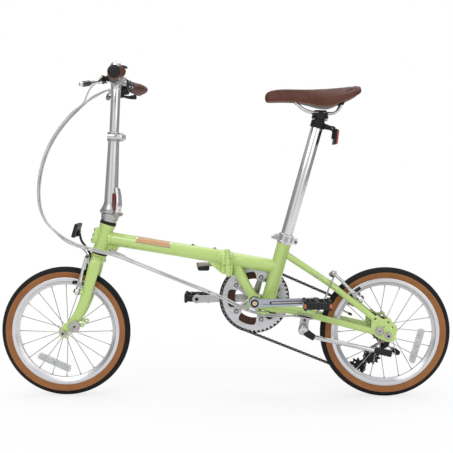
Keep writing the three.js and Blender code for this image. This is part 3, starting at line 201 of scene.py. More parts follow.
def enamel(name, colour, dark):
    made = Shader(name, colour, 0.32, Coat_Weight=1.0, Coat_Roughness=0.04)
    made.mottle(9, 0.25, dark).scuff(30, 0.05).wear([min(1, c * 1.5) for c in colour], 0.25)
    return made.bump(made.noise(700, 2), 0.05, 0.0002).material


def metal(name, colour, roughness, lines=(1, 1, 1), line_strength=0.08, spots=0.25):
    made = Shader(name, colour, roughness, 1.0)
    made.mottle(14, spots * 0.6, [c * 0.85 for c in colour]).scuff(45, roughness * 0.2)
    grain = made.noise(900, 2, made.stretch(*lines))
    return made.bump(grain, line_strength, 0.0002).material


def moulded(name, colour, roughness, grain=420, strength=0.25):
    made = Shader(name, colour, roughness, Specular_IOR_Level=0.22)
    made.mottle(25, 0.4, [c * 1.9 + 0.004 for c in colour]).scuff(60, 0.08)
    made.wear([c * 1.6 + 0.008 for c in colour], 0.3)
    return made.bump(made.noise(grain, 4), strength, 0.0003).material


def hide(name, colour, pale, dark, grain=520):
    """Smooth grained cover of the saddle and the grips."""
    made = Shader(name, colour, 0.45, Coat_Weight=0.05, Coat_Roughness=0.3, Specular_IOR_Level=0.22)
    made.mottle(18, 0.5, dark).mottle(70, 0.25, pale, 5).scuff(40, 0.07).wear(pale, 0.5)
    made.bump(made.cells(grain, "DISTANCE_TO_EDGE"), 0.35, 0.0003)
    return made.bump(made.noise(grain * 2.5, 4), 0.2, 0.0002).material


def lens(name, colour, clear):
    """A reflector's moulded prism face."""
    made = Shader(name, colour, 0.12, Transmission_Weight=clear, IOR=1.49, Coat_Weight=1.0)
    made.mottle(60, 0.3, [c * 0.7 for c in colour])
    made.bump(made.cells(260), 0.9, 0.0012)
    return made.bump(made.wave(70, "BANDS", "Z"), 0.25, 0.0005).material


def tyre_tan():
    made = Shader("tyre_tan", (0.31, 0.13, 0.045), 0.7, Specular_IOR_Level=0.2)
    made.mottle(35, 0.45, (0.2, 0.07, 0.024), 5).mottle(140, 0.3, (0.36, 0.16, 0.06), 4).scuff(50, 0.08)
    made.bump(made.wave(330, "BANDS", "DIAGONAL", 0.6), 0.3, 0.0003)
    return made.bump(made.wave(55, "RINGS", "Y"), 0.35, 0.0005).material


def tyre_black():
    made = Shader("tyre_tread", (0.011, 0.011, 0.012), 0.8, Specular_IOR_Level=0.15)
    made.mottle(60, 0.6, (0.018, 0.018, 0.018), 5).scuff(60, 0.08)
    return made.bump(made.noise(500, 5), 0.35, 0.0004).material


def brake_track():
    made = Shader("rim_alloy", (0.68, 0.68, 0.71), 0.3, 1.0)
    made.mottle(20, 0.15, (0.6, 0.6, 0.62)).scuff(60, 0.03)
    return made.bump(made.wave(260, "RINGS", "Y"), 0.02, 0.0002).material


def wood_tone():
    made = Shader("badge_face", (0.62, 0.36, 0.16), 0.35, Coat_Weight=0.6)
    grain = made.stretch(6, 60, 60)
    made.tint(made.remap(made.noise(14, 5, grain), 0, 0.7), (0.4, 0.2, 0.08))
    return made.bump(made.noise(30, 4, grain), 0.15, 0.0002).material


PAINT = enamel("frame_paint", (0.455, 0.62, 0.175), (0.39, 0.56, 0.14))
ALLOY = metal("polished_alloy", (0.72, 0.715, 0.73), 0.17, (1, 1, 14), 0.02)
BAR_ALLOY = metal("bar_alloy", (0.72, 0.715, 0.73), 0.17, (14, 1, 14), 0.02)
SATIN = metal("satin_casting", (0.46, 0.455, 0.465), 0.34, line_strength=0.1)
CRANK_ALLOY = metal("crank_alloy", (0.4, 0.43, 0.5), 0.16, (1, 10, 10), 0.02)
STEEL = metal("bright_steel", (0.46, 0.44, 0.43), 0.24, line_strength=0.05)
SPOKE = metal("spoke_steel", (0.36, 0.32, 0.3), 0.24, line_strength=0.05)
CHROME = metal("chrome", (0.62, 0.62, 0.63), 0.07, line_strength=0.01)
CHAIN_STEEL = metal("chain_steel", (0.055, 0.052, 0.05), 0.4, line_strength=0.2, spots=0.5)
DARK_STEEL = metal("dark_steel", (0.09, 0.088, 0.086), 0.38, line_strength=0.2, spots=0.5)
BRASS_DARK = metal("dark_bronze", (0.3, 0.27, 0.23), 0.34, line_strength=0.2)
RING_ALLOY = metal("ring_alloy", (0.6, 0.6, 0.63), 0.34, line_strength=0.06)
BRASS = metal("warm_bolt", (0.66, 0.52, 0.36), 0.3, line_strength=0.1)
RIM = brake_track()
TREAD = tyre_black()
SIDEWALL = tyre_tan()
BLACK = moulded("black_plastic", (0.012, 0.012, 0.013), 0.38)
RUBBER = moulded("black_rubber", (0.017, 0.017, 0.018), 0.62, 700, 0.4)
GUARD = moulded("guard_plastic", (0.05, 0.02, 0.011), 0.4)
JACKET = moulded("cable_jacket", (0.42, 0.42, 0.42), 0.32, 900, 0.08)
LEATHER = hide("brown_cover", (0.09, 0.028, 0.017), (0.13, 0.047, 0.03), (0.06, 0.018, 0.011))
GRIP = hide("brown_grip", (0.092, 0.031, 0.02), (0.14, 0.056, 0.038), (0.055, 0.018, 0.012), 300)
STITCH = moulded("stitch_thread", (0.24, 0.12, 0.07), 0.6, 900, 0.3)
CATCH = moulded("safety_catch", (0.15, 0.02, 0.015), 0.4)
CLEAR = lens("clear_lens", (0.82, 0.84, 0.86), 0.55)
RED = lens("red_lens", (0.42, 0.008, 0.014), 0.1)
AMBER = lens("amber_lens", (0.5, 0.12, 0.008), 0.1)
WOOD = wood_tone()


# ---------------------------------------------------------------- mesh building
def walk(line, count, parts):
    """count points along a line of short straights, each one part of its length after the last."""
    lengths = [0.0]
    for a, b in zip(line, line[1:]):
        lengths.append(lengths[-1] + (b - a).length)
    points, k = [], 0
    for i in range(count):
        want = lengths[-1] * i / parts
        while k < len(line) - 2 and lengths[k + 1] < want:
            k += 1
        span = lengths[k + 1] - lengths[k]
        points.append(line[k].lerp(line[k + 1], (want - lengths[k]) / span if span else 0))
    return points


def run_length(line):
    return sum((V(b) - V(a)).length for a, b in zip(line, line[1:]))


def smooth_path(points, count):
    """count points along a Catmull-Rom curve through points, evenly spread by length."""
    points = [V(p) for p in points]
    if len(points) == 2:
        return [points[0].lerp(points[1], i / (count - 1)) for i in range(count)]
    ends = [2 * points[0] - points[1], *points, 2 * points[-1] - points[-2]]
    fine = []
    for i in range(1, len(ends) - 2):
        a, b, c, d = ends[i - 1 : i + 3]
        for k in range(16):
            t = k / 16
            bend, twist = 2 * a - 5 * b + 4 * c - d, 3 * b - a - 3 * c + d
            fine.append(0.5 * (2 * b + (c - a) * t + bend * t * t + twist * t**3))
    fine.append(points[-1])
    return walk(fine, count, count - 1)


def arc(radius, start, end, count, middle=(0, 0)):
    """Points of a circle's arc in a plane, in degrees."""
    angles = [radians(start + (end - start) * i / (count - 1)) for i in range(count)]
    return [(middle[0] + radius * cos(a), middle[1] + radius * sin(a)) for a in angles]


def pill(a, b, r, count=9):
    """The outline round two equal circles."""
    angle = degrees(atan2(b[1] - a[1], b[0] - a[0]))
    return arc(r, angle + 90, angle + 270, count, a) + arc(r, angle - 90, angle + 90, count, b)


SIDES = {-1: "left", 1: "right"}


def flip(point, side):
    """A point given for the right side, mirrored for side -1."""
    return V((point[0], point[1] * side, point[2]))


def y_range(side, near, far):
    """Two distances out from the middle, as Y in rising order."""
    return sorted((side * near, side * far))


def outward(side, profile):
    """A turned profile, its distances taken out from the middle."""
    return [(r, side * h) for r, h in profile]


class Piece:
    """Closed solids gathered into one object. place turns the piece's own axes into the bicycle's."""

    def __init__(self, name, body, material, place=None):
        self.name = name
        self.body = body
        self.materials = [material]
        self.place = place or Matrix.Identity(4)
        self.bm = bmesh.new()
        self.index = 0

    def of(self, material):
        """The solids that follow are of this material."""
        if material not in self.materials:
            self.materials.append(material)
        self.index = self.materials.index(material)
        return self

    def skin(self, rings, loop=False):
        """A closed surface through rings of points. loop joins the last ring to the first."""
        rows = [[self.bm.verts.new(p) for p in ring] for ring in rings]
        count = len(rows[0])
        pairs = list(zip(rows, rows[1:] + rows[:1])) if loop else list(zip(rows, rows[1:]))
        faces = []
        for low, high in pairs:
            for i in range(count):
                j = (i + 1) % count
                faces.append(self.bm.faces.new((low[i], low[j], high[j], high[i])))
        if not loop:
            faces.append(self.bm.faces.new(rows[0][::-1]))
            faces.append(self.bm.faces.new(rows[-1]))
        for face in faces:
            face.material_index = self.index
        bmesh.ops.recalc_face_normals(self.bm, faces=faces)
        return faces

    def turned(self, profile, origin=(0, 0, 0), sides=40, loop=False, axis=(0, 1, 0)):
        """profile is (radius, distance along axis). loop is for a ring, whose profile closes on itself."""
        axis = V(axis).normalized()
        across = axis.orthogonal().normalized()
        other = axis.cross(across)
        rings = []
        for r, h in profile:
            r = max(r, 0.01)
            rings.append([
                V(origin) + axis * h + (across * cos(a) + other * sin(a)) * r
                for a in (TURN * i / sides for i in range(sides))
            ])
        return self.skin(rings, loop)

    def rod(self, a, b, r0, r1=None, sides=24, round_by=0.7):
        """A rod with eased ends."""
        r1 = r0 if r1 is None else r1
        a, b = V(a), V(b)
        length = (b - a).length
        c = min(round_by, r0 * 0.4, r1 * 0.4, length * 0.3)
        profile = [
            (r0 - c, 0), (r0 - 0.3 * c, 0.3 * c), (r0, c), (r1, length - c),
            (r1 - 0.3 * c, length - 0.3 * c),
        ]
        return self.turned([*profile, (r1 - c, length)], a, sides, axis=b - a)

    def pin(self, x, z, y0, y1, r, sides=24, round_by=0.7):
        return self.rod((x, y0, z), (x, y1, z), r, r, sides, round_by)

    def hex(self, a, b, r):
        """A hexagon head or nut with its corners eased."""
        return self.rod(a, b, r, r, 6, r * 0.14)

    def ring(self, a, b, outer, inner, sides=32, ease=0.6):
        """A collar with a hole."""
        a, b = V(a), V(b)
        h = (b - a).length
        profile = [
            (inner, 0), (outer - ease, 0), (outer, ease), (outer, h - ease), (outer - ease, h), (inner, h),
        ]
        return self.turned(profile, a, sides, True, b - a)

    def tube(self, points, size, steps=24, sides=16, ends=0.5, side=(0, 1, 0)):
        """A rounded section along a curve. size is a radius, or gives half widths along side and across."""
        path = smooth_path(points, steps + 1)
        measure = size if callable(size) else (lambda t: (size, size))
        rings = []
        for i, p in enumerate(path):
            along = (path[min(i + 1, steps)] - path[max(i - 1, 0)]).normalized()
            across = (V(side) - along * V(side).dot(along)).normalized()
            other = along.cross(across)
            wide, deep = measure(i / steps)
            rings.append([
                p + across * wide * cos(a) + other * deep * sin(a)
                for a in (TURN * k / sides for k in range(sides))
            ])
        if ends:
            rings.insert(0, shrink(rings[0], path[0], path[1], ends))
            rings.append(shrink(rings[-1], path[-1], path[-2], ends))
        return self.skin(rings)

    def take(self, mesh):
        """Adds another mesh, in the material of the solids that follow."""
        before = len(self.bm.faces)
        self.bm.from_mesh(mesh)
        self.bm.faces.ensure_lookup_table()
        for face in self.bm.faces[before:]:
            face.material_index = self.index

    def slab(self, outline, y0, y1, holes=(), ease=0.3, place=None):
        """A flat plate across the bicycle, its outline given as (x, z)."""
        curve = bpy.data.curves.new("outline", "CURVE")
        curve.dimensions = "2D"
        curve.fill_mode = "BOTH"
        curve.extrude = max(abs(y1 - y0) / 2 - ease, 0.01)
        curve.bevel_depth = ease
        curve.bevel_resolution = 1
        curve.offset = -ease
        for loop in (outline, *holes):
            spline = curve.splines.new("POLY")
            spline.points.add(len(loop) - 1)
            for point, (x, z) in zip(spline.points, loop):
                point.co = (x, z, 0, 1)
            spline.use_cyclic_u = True
        holder = bpy.data.objects.new("outline", curve)
        flat = holder.to_mesh()
        stand = Matrix(((1, 0, 0, 0), (0, 0, -1, (y0 + y1) / 2), (0, 1, 0, 0), (0, 0, 0, 1)))
        flat.transform((place or Matrix.Identity(4)) @ stand)
        self.take(flat)
        holder.to_mesh_clear()
        bpy.data.objects.remove(holder)
        bpy.data.curves.remove(curve)
        return self

    def block(self, centre, size, lean=0.0, ease=1.2, turn=None):
        """A box with rounded edges."""
        made = bmesh.new()
        bmesh.ops.create_cube(made, size=1)
        for vert in made.verts:
            vert.co = V([c * s for c, s in zip(vert.co, size)])
        ease = min(ease, min(size) * 0.35)
        bmesh.ops.bevel(made, geom=made.edges[:], offset=ease, segments=3, profile=0.5, affect="EDGES")
        matrix = Matrix.Translation(centre) @ (turn or Matrix.Rotation(lean, 4, "Y"))
        made.transform(matrix)
        flat = bpy.data.meshes.new("block")
        made.to_mesh(flat)
        made.free()
        self.take(flat)
        bpy.data.meshes.remove(flat)
        return self

    def clip(self, point, normal):
        """Takes away everything on the normal's side of a plane, and closes the cut."""
        geometry = self.bm.verts[:] + self.bm.edges[:] + self.bm.faces[:]
        cut = bmesh.ops.bisect_plane(
            self.bm, geom=geometry, plane_co=point, plane_no=normal, clear_outer=True,
        )
        edges = [e for e in cut["geom_cut"] if isinstance(e, bmesh.types.BMEdge)]
        closed = bmesh.ops.holes_fill(self.bm, edges=edges, sides=0)
        for face in closed["faces"]:
            face.material_index = self.index
        return self

    def done(self, *replaced, slot="polished_alloy", origin=None, sharp=38):
        """Makes the object and lets it ride on its body. origin is where the object's own axes start."""
        mesh = bpy.data.meshes.new(self.name)
        bmesh.ops.remove_doubles(self.bm, verts=self.bm.verts[:], dist=0.0005)
        self.bm.to_mesh(mesh)
        self.bm.free()
        mesh.transform(self.place)
        start = V(origin or (0, 0, 0))
        mesh.transform(Matrix.Scale(MM, 4) @ Matrix.Translation(-start))
        for material in self.materials:
            mesh.materials.append(material)
        mesh.polygons.foreach_set("use_smooth", [True] * len(mesh.polygons))
        mesh.set_sharp_from_angle(angle=radians(sharp))
        made = hold(self.name, mesh)
        made.location = start * MM
        if self.body:
            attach(made, self.body)
        if replaced:
            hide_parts(*replaced)
        return made


def hold(name, data):
    """An object of the scene with this data."""
    made = bpy.data.objects.new(name, data)
    bpy.context.scene.collection.objects.link(made)
    return made


def shrink(ring, centre, inward, by):
    """The last ring of a rounded end, drawn in towards its centre and pushed out by a little."""
    out = (V(centre) - V(inward)).normalized() * by * 0.6
    size = max((ring[0] - V(centre)).length, 0.1)
    return [V(centre) + (p - V(centre)) * max(1 - by / size, 0.3) + out for p in ring]


# ---------------------------------------------------------------- wheels
def tyre(prefix, axle):
    grooves = 216
    profile = [
        (152.8, -9.2), (154.6, -9.8), (156.4, -12), (159.5, -12.6), (164, -15.4), (168.5, -17.1),
        (172, -17.4), (173.2, -16.9), (175.5, -15.9), (178.5, -13.9), (181.5, -11), (184, -7.6),
        (185.4, -3.8), (186, 0),
    ]
    profile += [(r, -y) for r, y in reversed(profile[:-1])]
    piece = Piece(prefix + "_tyre_cover", prefix + "_wheel", TREAD)
    rings = []
    for i in range(grooves * 2):
        a = TURN * i / (grooves * 2)
        ring = []
        for r, y in profile:
            cut = 0.7 if i % 2 and 175 < r < 184.5 else 0.0
            ring.append(V(((r - cut) * cos(a), y * (1 - cut * 0.02), (r - cut) * sin(a))) + axle)
        rings.append(ring)
    faces = piece.skin(rings, True)
    piece.of(SIDEWALL)
    for face in faces:
        middle = face.calc_center_median() - axle
        if hypot(middle.x, middle.z) < TREAD_EDGE_R:
            face.material_index = piece.index
    piece.done(prefix + "_tyre", slot="tyre_rubber", origin=axle, sharp=60)


def rim(prefix, axle, valve_angle):
    w = 12
    piece = Piece(prefix + "_rim_body", prefix + "_wheel", RIM)
    half = [
        (RIM_INNER_R, 3.6), (RIM_INNER_R + 0.4, 5.4), (137, 6.9), (144.3, 10.6), (144.9, 11.4),
        (145.6, 11.9), (146.2, w), (154.2, w), (155.2, w - 0.6), (155.6, w - 1.4), (155.2, w - 2.2),
        (154, w - 2.4), (151.5, w - 3.4), (150.4, 6),
    ]
    profile = half + [(r, -y) for r, y in reversed(half)]
    piece.turned(profile, axle, 144, True)
    piece.of(STEEL)
    for i in range(SPOKES):
        a = TURN * i / SPOKES
        out = V((cos(a), 0, sin(a)))
        lean = V((0, (24 if i % 2 else -24) * 0.08, 0))
        piece.rod(
            axle + out * (RIM_INNER_R - 6) + lean * 1.4, axle + out * (RIM_INNER_R + 1) + lean, 1.7, 2.1,
            10, 0.3,
        )
    a = radians(valve_angle)
    out = V((cos(a), 0, sin(a)))
    piece.rod(axle + out * 112, axle + out * 135, 2.6, 2.6, 12)
    piece.of(RUBBER).rod(axle + out * 106, axle + out * 117, 3.4, 3.9, 14)
    piece.done(prefix + "_rim", slot="rim_alloy", origin=axle)


def hub(prefix, axle, right, left, flange_r, barrel_r, lace):
    piece = Piece(prefix + "_spokes", prefix + "_wheel", ALLOY)
    end = [
        (5.6, 4), (barrel_r - 1, 4), (barrel_r, 3), (flange_r - 1, 1.6), (flange_r, 1), (flange_r, -1),
        (flange_r - 1, -1.6), (barrel_r + 1, -3), (barrel_r - 1.5, -8),
    ]
    profile = [(r, left - h) for r, h in end] + [(r, right + h) for r, h in reversed(end)]
    piece.turned(profile, axle, 40, True)
    piece.of(SPOKE)
    for i in range(SPOKES):
        out = TURN * i / SPOKES
        root = out + lace * (1 if i % 4 < 2 else -1)
        y = right if i % 2 else left
        start = V(((flange_r - 2.5) * cos(root), y, (flange_r - 2.5) * sin(root)))
        tip_r = RIM_INNER_R - 3
        end = V((tip_r * cos(out), y * 0.1, tip_r * sin(out)))
        piece.rod(axle + start, axle + end, 1.05, 1.05, 8, 0.1)
        piece.rod(axle + start - V((0, 2.6, 0)), axle + start + V((0, 2.6, 0)), 1.6, 1.6, 8, 0.3)
    piece.done(prefix + "_hub_and_spokes", origin=axle)


def wheel_reflector(prefix, axle, out_angle, tilt, reach):
    """The clear reflector clipped between the spokes."""
    a = radians(out_angle)
    middle = axle + V((reach * cos(a), 0, reach * sin(a)))
    place = Matrix.Translation(middle) @ Matrix.Rotation(-radians(tilt), 4, "Y")
    piece = Piece(prefix + "_wheel_reflector", prefix + "_wheel", CLEAR, place=place)
    outline = [
        (-52, -3), (-50, -8), (-44, -9.5), (44, -9.5), (50, -8), (52, -3), (49, 7), (44, 9.5), (-44, 9.5),
        (-49, 7),
    ]
    piece.slab(outline, -13.5, -6.5, ease=0.8)
    inner = [(x * 0.9, z * 0.72) for x, z in outline]
    piece.slab(inner, -14.4, -13.2, ease=0.4)
    for x in (-30, 30):
        piece.block((x, -5, 0), (5, 6, 14))
    piece.pin(0, 0, -15.2, -13, 5.5)
    piece.of(STEEL).pin(0, 0, -15.9, -14, 2.6)
    piece.done(slot="clear_lens", origin=axle)


def wheels():
    for prefix, axle, valve_angle in (("front", FRONT_AXLE, 63), ("rear", REAR_AXLE, 153)):
        tyre(prefix, axle)
        rim(prefix, axle, valve_angle)
    hub("front", FRONT_AXLE, 25, -25, 18, 11, 0)
    hub("rear", REAR_AXLE, 24, -30, 22, 13, 0.9)
    wheel_reflector("front", FRONT_AXLE, 249.8, -24, 96)
    wheel_reflector("rear", REAR_AXLE, 336.5, 73, 98.5)


# ---------------------------------------------------------------- fork and front axle
FORK_AXLE = HEAD.inverted() @ FRONT_AXLE
FORK_INNER_Y = 37


def fork():
    piece = Piece("fork_body", "steerer", PAINT, place=HEAD)
    piece.turned([
        (14.3, -50), (21.6, -48.6), (22.4, -50.5), (22, -58), (20.5, -66), (18.5, -72), (12, -76),
    ], axis=UP)
    piece.rod((0, 0, -60), (0, 0, 61), 14.3, 14.3, 32)
    end_z = FORK_AXLE.z + 8
    for side in SIDES:
        end = side * (FORK_INNER_Y + 2.5)
        path = [
            (0, side * 4, -57), (0, side * 25, -63), (0, side * 33.5, -84), (1, side * 36, -140),
            (0, side * 37, -190), (-7, side * 38, -232), (-22, end, -270), (FORK_AXLE.x - 1, end, end_z),
        ]
        piece.tube(path, lambda t: (8.5 - 4.5 * t, 16.5 - 7.5 * max(0, t - 0.25)), 44, 24)
        y0, y1 = y_range(side, FORK_INNER_Y, FORK_INNER_Y + 5)
        piece.slab(fork_end_outline(), y0, y1, ease=0.8, holes=[arc(2.9, 0, 345, 16, eyelet())])
        x, y = -12, side * BRAKE_BOSS
        piece.rod((x + 4, y - side * 2, -160), (x - 7, y, -164), 8, 7)
        piece.of(STEEL).rod((x - 6, y, -164), (x - 18, y, -164), 3.8)
        piece.of(PAINT)
    piece.of(STEEL).hex((17, 0, -62), (24, 0, -62), 5)
    piece.done("fork", slot="frame_paint")


def eyelet():
    return (FORK_AXLE.x + 44, FORK_AXLE.z + 37)


def fork_end_outline():
    x, z = FORK_AXLE.x, FORK_AXLE.z
    tip = eyelet()
    lower = arc(14, 150, 355, 22, (x, z))
    ear = arc(6.8, -75, 150, 16, tip)
    return lower + [
        (x + 13, z + 22), (x + 20, z + 31), *ear, (x + 22, z + 38), (x + 8, z + 40), (x - 6, z + 24),
    ]


def axle_parts(piece, axle, end_y, face_y, disc, disc_y, disc_r):
    """An axle with a washer and nut at each end, and the folding magnet's disc on a strap at the left."""
    piece.of(STEEL).pin(axle.x, axle.z, -end_y, end_y, 5, 20)
    for side in SIDES:
        out = V((0, side, 0))
        piece.rod(axle + out * face_y, axle + out * (face_y + 1.2), 10.4, 10.4, 32)
        piece.hex(axle + out * (face_y + 1.2), axle + out * (face_y + 7.5), 9.2)
        piece.rod(axle + out * (face_y + 6), axle + out * end_y, 4.6, 4.2, 20, 1)
    x, z = axle.x + disc[0], axle.z + disc[1]
    piece.pin(x, z, disc_y, disc_y + 8, 4.4)
    profile = [
        (disc_r * 0.3, 0), (disc_r * 0.32, 0.7), (disc_r * 0.62, 0.7), (disc_r * 0.68, 0), (disc_r - 1, 0),
        (disc_r, 1), (disc_r, 5), (disc_r - 1, 6.2), (0, 6.2),
    ]
    piece.turned([(0, 0.2), *profile], (x, disc_y - 4, z))
    piece.of(DARK_STEEL).pin(x, z, disc_y - 4.6, disc_y - 2, disc_r * 0.22)


def axles():
    piece = Piece("front_axle_set", "steerer", STEEL)
    axle_parts(piece, FRONT_AXLE, 60, 42.2, (32, 19), -48.6, 16.5)
    piece.done("front_axle", slot="drive_steel")
    piece = Piece("rear_axle_set", "rear_frame", STEEL)
    axle_parts(piece, REAR_AXLE, 82, 70.2, (-24.5, 13), -72.8, 11.5)
    piece.done("rear_axle", slot="drive_steel")


def head_point(x, z):
    return HEAD.inverted() @ V((x, 0, z))


def front_lamp_bracket():
    """Clear reflector in a black body, on a bent strip from the fork crown."""
    lens_at, knee, bend, foot, low = [
        head_point(x, z) for x, z in ((-426, 477), (-415, 448), (-401, 430), (-387, 406), (-387, 386))
    ]
    piece = Piece("front_reflector_body", "steerer", BLACK, place=HEAD)
    piece.block(lens_at + V((1.2, 0, 0)), (7, 84, 40), 0, 2.4)
    for z in (-15, 15):
        piece.block(lens_at + V((-3.2, 0, z * 1.2)), (3, 82, 2.6), 0, 0.8)
    for y in (-40.5, 40.5):
        piece.block(lens_at + V((-3.2, y, 0)), (3, 2.6, 38), 0, 0.8)
    piece.block(lens_at + V((7, 0, -6)), (8, 20, 18), 0, 1.6)
    piece.of(CLEAR).block(lens_at + V((-3.4, 0, 0)), (3.2, 78.6, 33.4), 0, 0.8)
    start = lens_at + V((8, 0, -2))
    piece.of(BLACK).tube([start, knee + V((2, 0, 0)), bend, foot, low], lambda t: (9, 3.2), 30, 18)
    piece.of(STEEL).hex(low + V((-6, 0, 4)), low + V((-1, 0, 4)), 5.4)
    piece.rod(low + V((-2, 0, 4)), low + V((4, 0, 4)), 6.6, 6.6)
    piece.rod(lens_at + V((9, 0, -6)), lens_at + V((13, 0, -6)), 3.4)
    piece.done("front_reflector", slot="clear_lens")


# ---------------------------------------------------------------- rim brakes
ARM_LENGTH = 103
ARM_INSET = 9
PAD_HEIGHT = 22


def brake_arm(wheel, side, place, out):
    """A cantilever arm with its shoe, along its own +Z. The wheel is at -side Y, and the frame at -out X."""
    piece = Piece(f"{wheel}_brake_{SIDES[side]}_arm", f"{wheel}_brake_{SIDES[side]}", ALLOY, place=place)
    inner, pad, face, top = -side * ARM_INSET, PAD_HEIGHT, out * 6, ARM_LENGTH - 3
    path = [
        (0, 0, -9), (0, side * 1.2, 6), (0, side * 1.6, 24), (out * 2, -side, 52),
        (out * 3.6, -side * 6, 76), (out * 4.6, inner, ARM_LENGTH),
    ]
    piece.tube(path, lambda t: (6.2 - 2.4 * t, 5.8 - 1.9 * t), 26, 20, 1.2)
    piece.rod((-6, 0, 0), (6, 0, 0), 8.4, 8.4, 28, 1)
    piece.rod((-3.5, side * 4.5, pad), (-3.5, side * 4.6, pad + 0.1), 1)
    piece.block((0, side * 1.2, pad), (12.4, 12, 15), 0, 2)
    piece.of(DARK_STEEL).rod((face, 0, 0), (face + out * 5, 0, 0), 6.2, 5.4, 24, 1.2)
    piece.of(BLACK).rod((-out * 5.2, 0, 0), (-out * 6.8, 0, 0), 9.6, 9, 28)
    piece.of(STEEL).rod((0, side * 7, pad), (0, -side * 15, pad), 3.2)
    piece.hex((0, side * 8.8, pad), (0, side * 13, pad), 5.2)
    for y, r in ((-8, 6.6), (-10, 5.6), (6.8, 7.2)):
        piece.rod((0, side * y, pad), (0, side * (y + 1.7), pad), r, r)
    piece.tube([(face, side * 3, 8), (face, side * 7.6, 26), (face * 0.7, side * 5.4, 50)], 0.9, 14, 8)
    bow = [(23 * t, -side * 20, pad - 3.4 * t * t) for t in (-1, -0.5, 0, 0.5, 1)]
    piece.of(BLACK).tube(bow, lambda t: (4.6, 4.6), 18, 16, 1.6)
    for t in (-0.55, -0.25, 0.25, 0.55):
        piece.of(RUBBER).block((23 * t, -side * 23.4, pad - 3.4 * t * t), (3.6, 2.4, 7.4), 0, 0.7)
    if side < 0:
        cable_holder(piece, inner, top, out)
    else:
        piece.of(STEEL).hex((-9, inner, top), (-5.4, inner, top), 5)
        piece.rod((-6, inner, top), (4, inner, top), 5.6, 5.2)
        piece.tube([
            (-6.6, inner - side * 4, top + 1), (-6.8, side * 2, top - 3), (-7, side * 8, top - 12),
        ], 0.9, 8, 8)
    piece.done(f"{wheel}_brake_arm_{SIDES[side]}")


def cable_holder(piece, y, top, out):
    """The top of a left arm: the bent cable pipe, or its round seat at the rear, then boot and bare wire."""
    piece.of(DARK_STEEL).block((-2, y, top + 2.4), (9, 9, 7), 0, 1.4)
    if out < 0:
        lead = [
            (-2, y, top + 3), (-4.6, y, top + 9), (-12, 8, top + 16), (-28, 0, top + 25),
            (-46, -1, top + 30),
        ]
        piece.of(STEEL).tube(lead, 2.2, 34, 14, side=(1, 0, 0))
    else:
        piece.of(STEEL).rod((-1, y, top + 4), (12, y, top + 4), 7.4, 6.4, 32, 1.4)
        piece.of(CHROME).rod((11, y, top + 4), (14, y, top + 4), 4.4, 3.6, 24, 1)
    boot = [(-4, y + 8, top + 3.6), (-4.6, y + 16, top + 2.6), (-5, y + 25, top + 1.6)]
    piece.of(RUBBER).tube(boot, lambda t: [3.4 + 0.35 * sin(60 * t)] * 2, 40, 14)
    piece.of(STEEL).tube([boot[-1], (-5.4, y + 61, top + 1)], 0.9, 3, 8)


def brakes():
    lean = Matrix.Rotation(REAR_ARM_LEAN, 4, "Y")
    for side in SIDES:
        brake_arm("front", side, HEAD @ Matrix.Translation((-25, side * BRAKE_BOSS, -164)), -1)
        brake_arm("rear", side, Matrix.Translation(flip(REAR_PIVOT, side)) @ lean, 1)


# ---------------------------------------------------------------- handlepost
BAR_LOCAL = POST.inverted() @ V((-310, 0, 906))
DIAGONAL = sqrt(0.5)
LATCH_SIDE = 35 * DIAGONAL


def handlepost_foot():
    top = HEAD.inverted() @ V((-328.5, 0, 524.4))
    piece = Piece("handlepost_foot", "steerer", SATIN, place=HEAD)
    path = [(0, 0, 50.4), (top.x * 0.3, 0, 60), top]
    piece.tube(path, lambda t: (22 + 4 * t, 22 + 6 * t), 14, 40, 0)
    lean = Matrix.Rotation(radians(2.9 - 16.5), 4, "Y")
    piece.clip(top, lean @ UP)
    piece.tube([
        top + V((20, 0, -17)), top + V((12, 0, -9)), top + V((4, 0, -3)),
    ], lambda t: (13, 9 - 3 * t), 8, 20)
    piece.clip(top, lean @ UP)
    piece.done("handlepost_base")


def handlepost_tube():
    piece = Piece("handlepost_tube", "handlepost", ALLOY, place=POST)
    piece.turned([
        (14.2, 24), (19.9, 24), (19.6, 40), (15.8, CLAMP_TOP - 30), (15.8, CLAMP_TOP - 20),
        (14.2, CLAMP_TOP - 20),
    ], sides=56, loop=True, axis=UP)
    piece.of(SATIN).turned([
        (14.2, 0.3), (25.6, 0.3), (27.2, 2), (28, 7), (27.2, 13), (24.4, 19), (21.6, 25), (20.3, 32),
        (14.2, 33),
    ], sides=56, loop=True, axis=UP)
    pin_at = V((-27 * DIAGONAL, 27 * DIAGONAL, 5.5))
    along = V((0.707, 0.707, 0))
    for middle in (-10.5, 0, 10.5):
        piece.rod(pin_at - along * (middle - 4.6), pin_at - along * (middle + 4.6), 5.2, 5.2, 20, 0.6)
    piece.of(STEEL).rod(pin_at + along * 16.6, pin_at - along * 16.6, 2.6)
    top = CLAMP_TOP
    piece.of(SATIN).ring((0, 0, top - 26), (0, 0, top), 18.8, 14.1, 56, 1)
    for side in SIDES:
        piece.block((20.5, side * 5, top - 13), (13, 5, 23), 0, 1.4)
    piece.of(STEEL).rod((24, 4, top - 13), (24, 13, top - 13), 4.2)
    piece.rod((24, 9, top - 13), (24, 15, top - 13), 6.6, 6, 20, 1)
    piece.rod((24, -8, top - 13), (24, -12, top - 13), 4.6)
    piece.done("handlepost_lower")


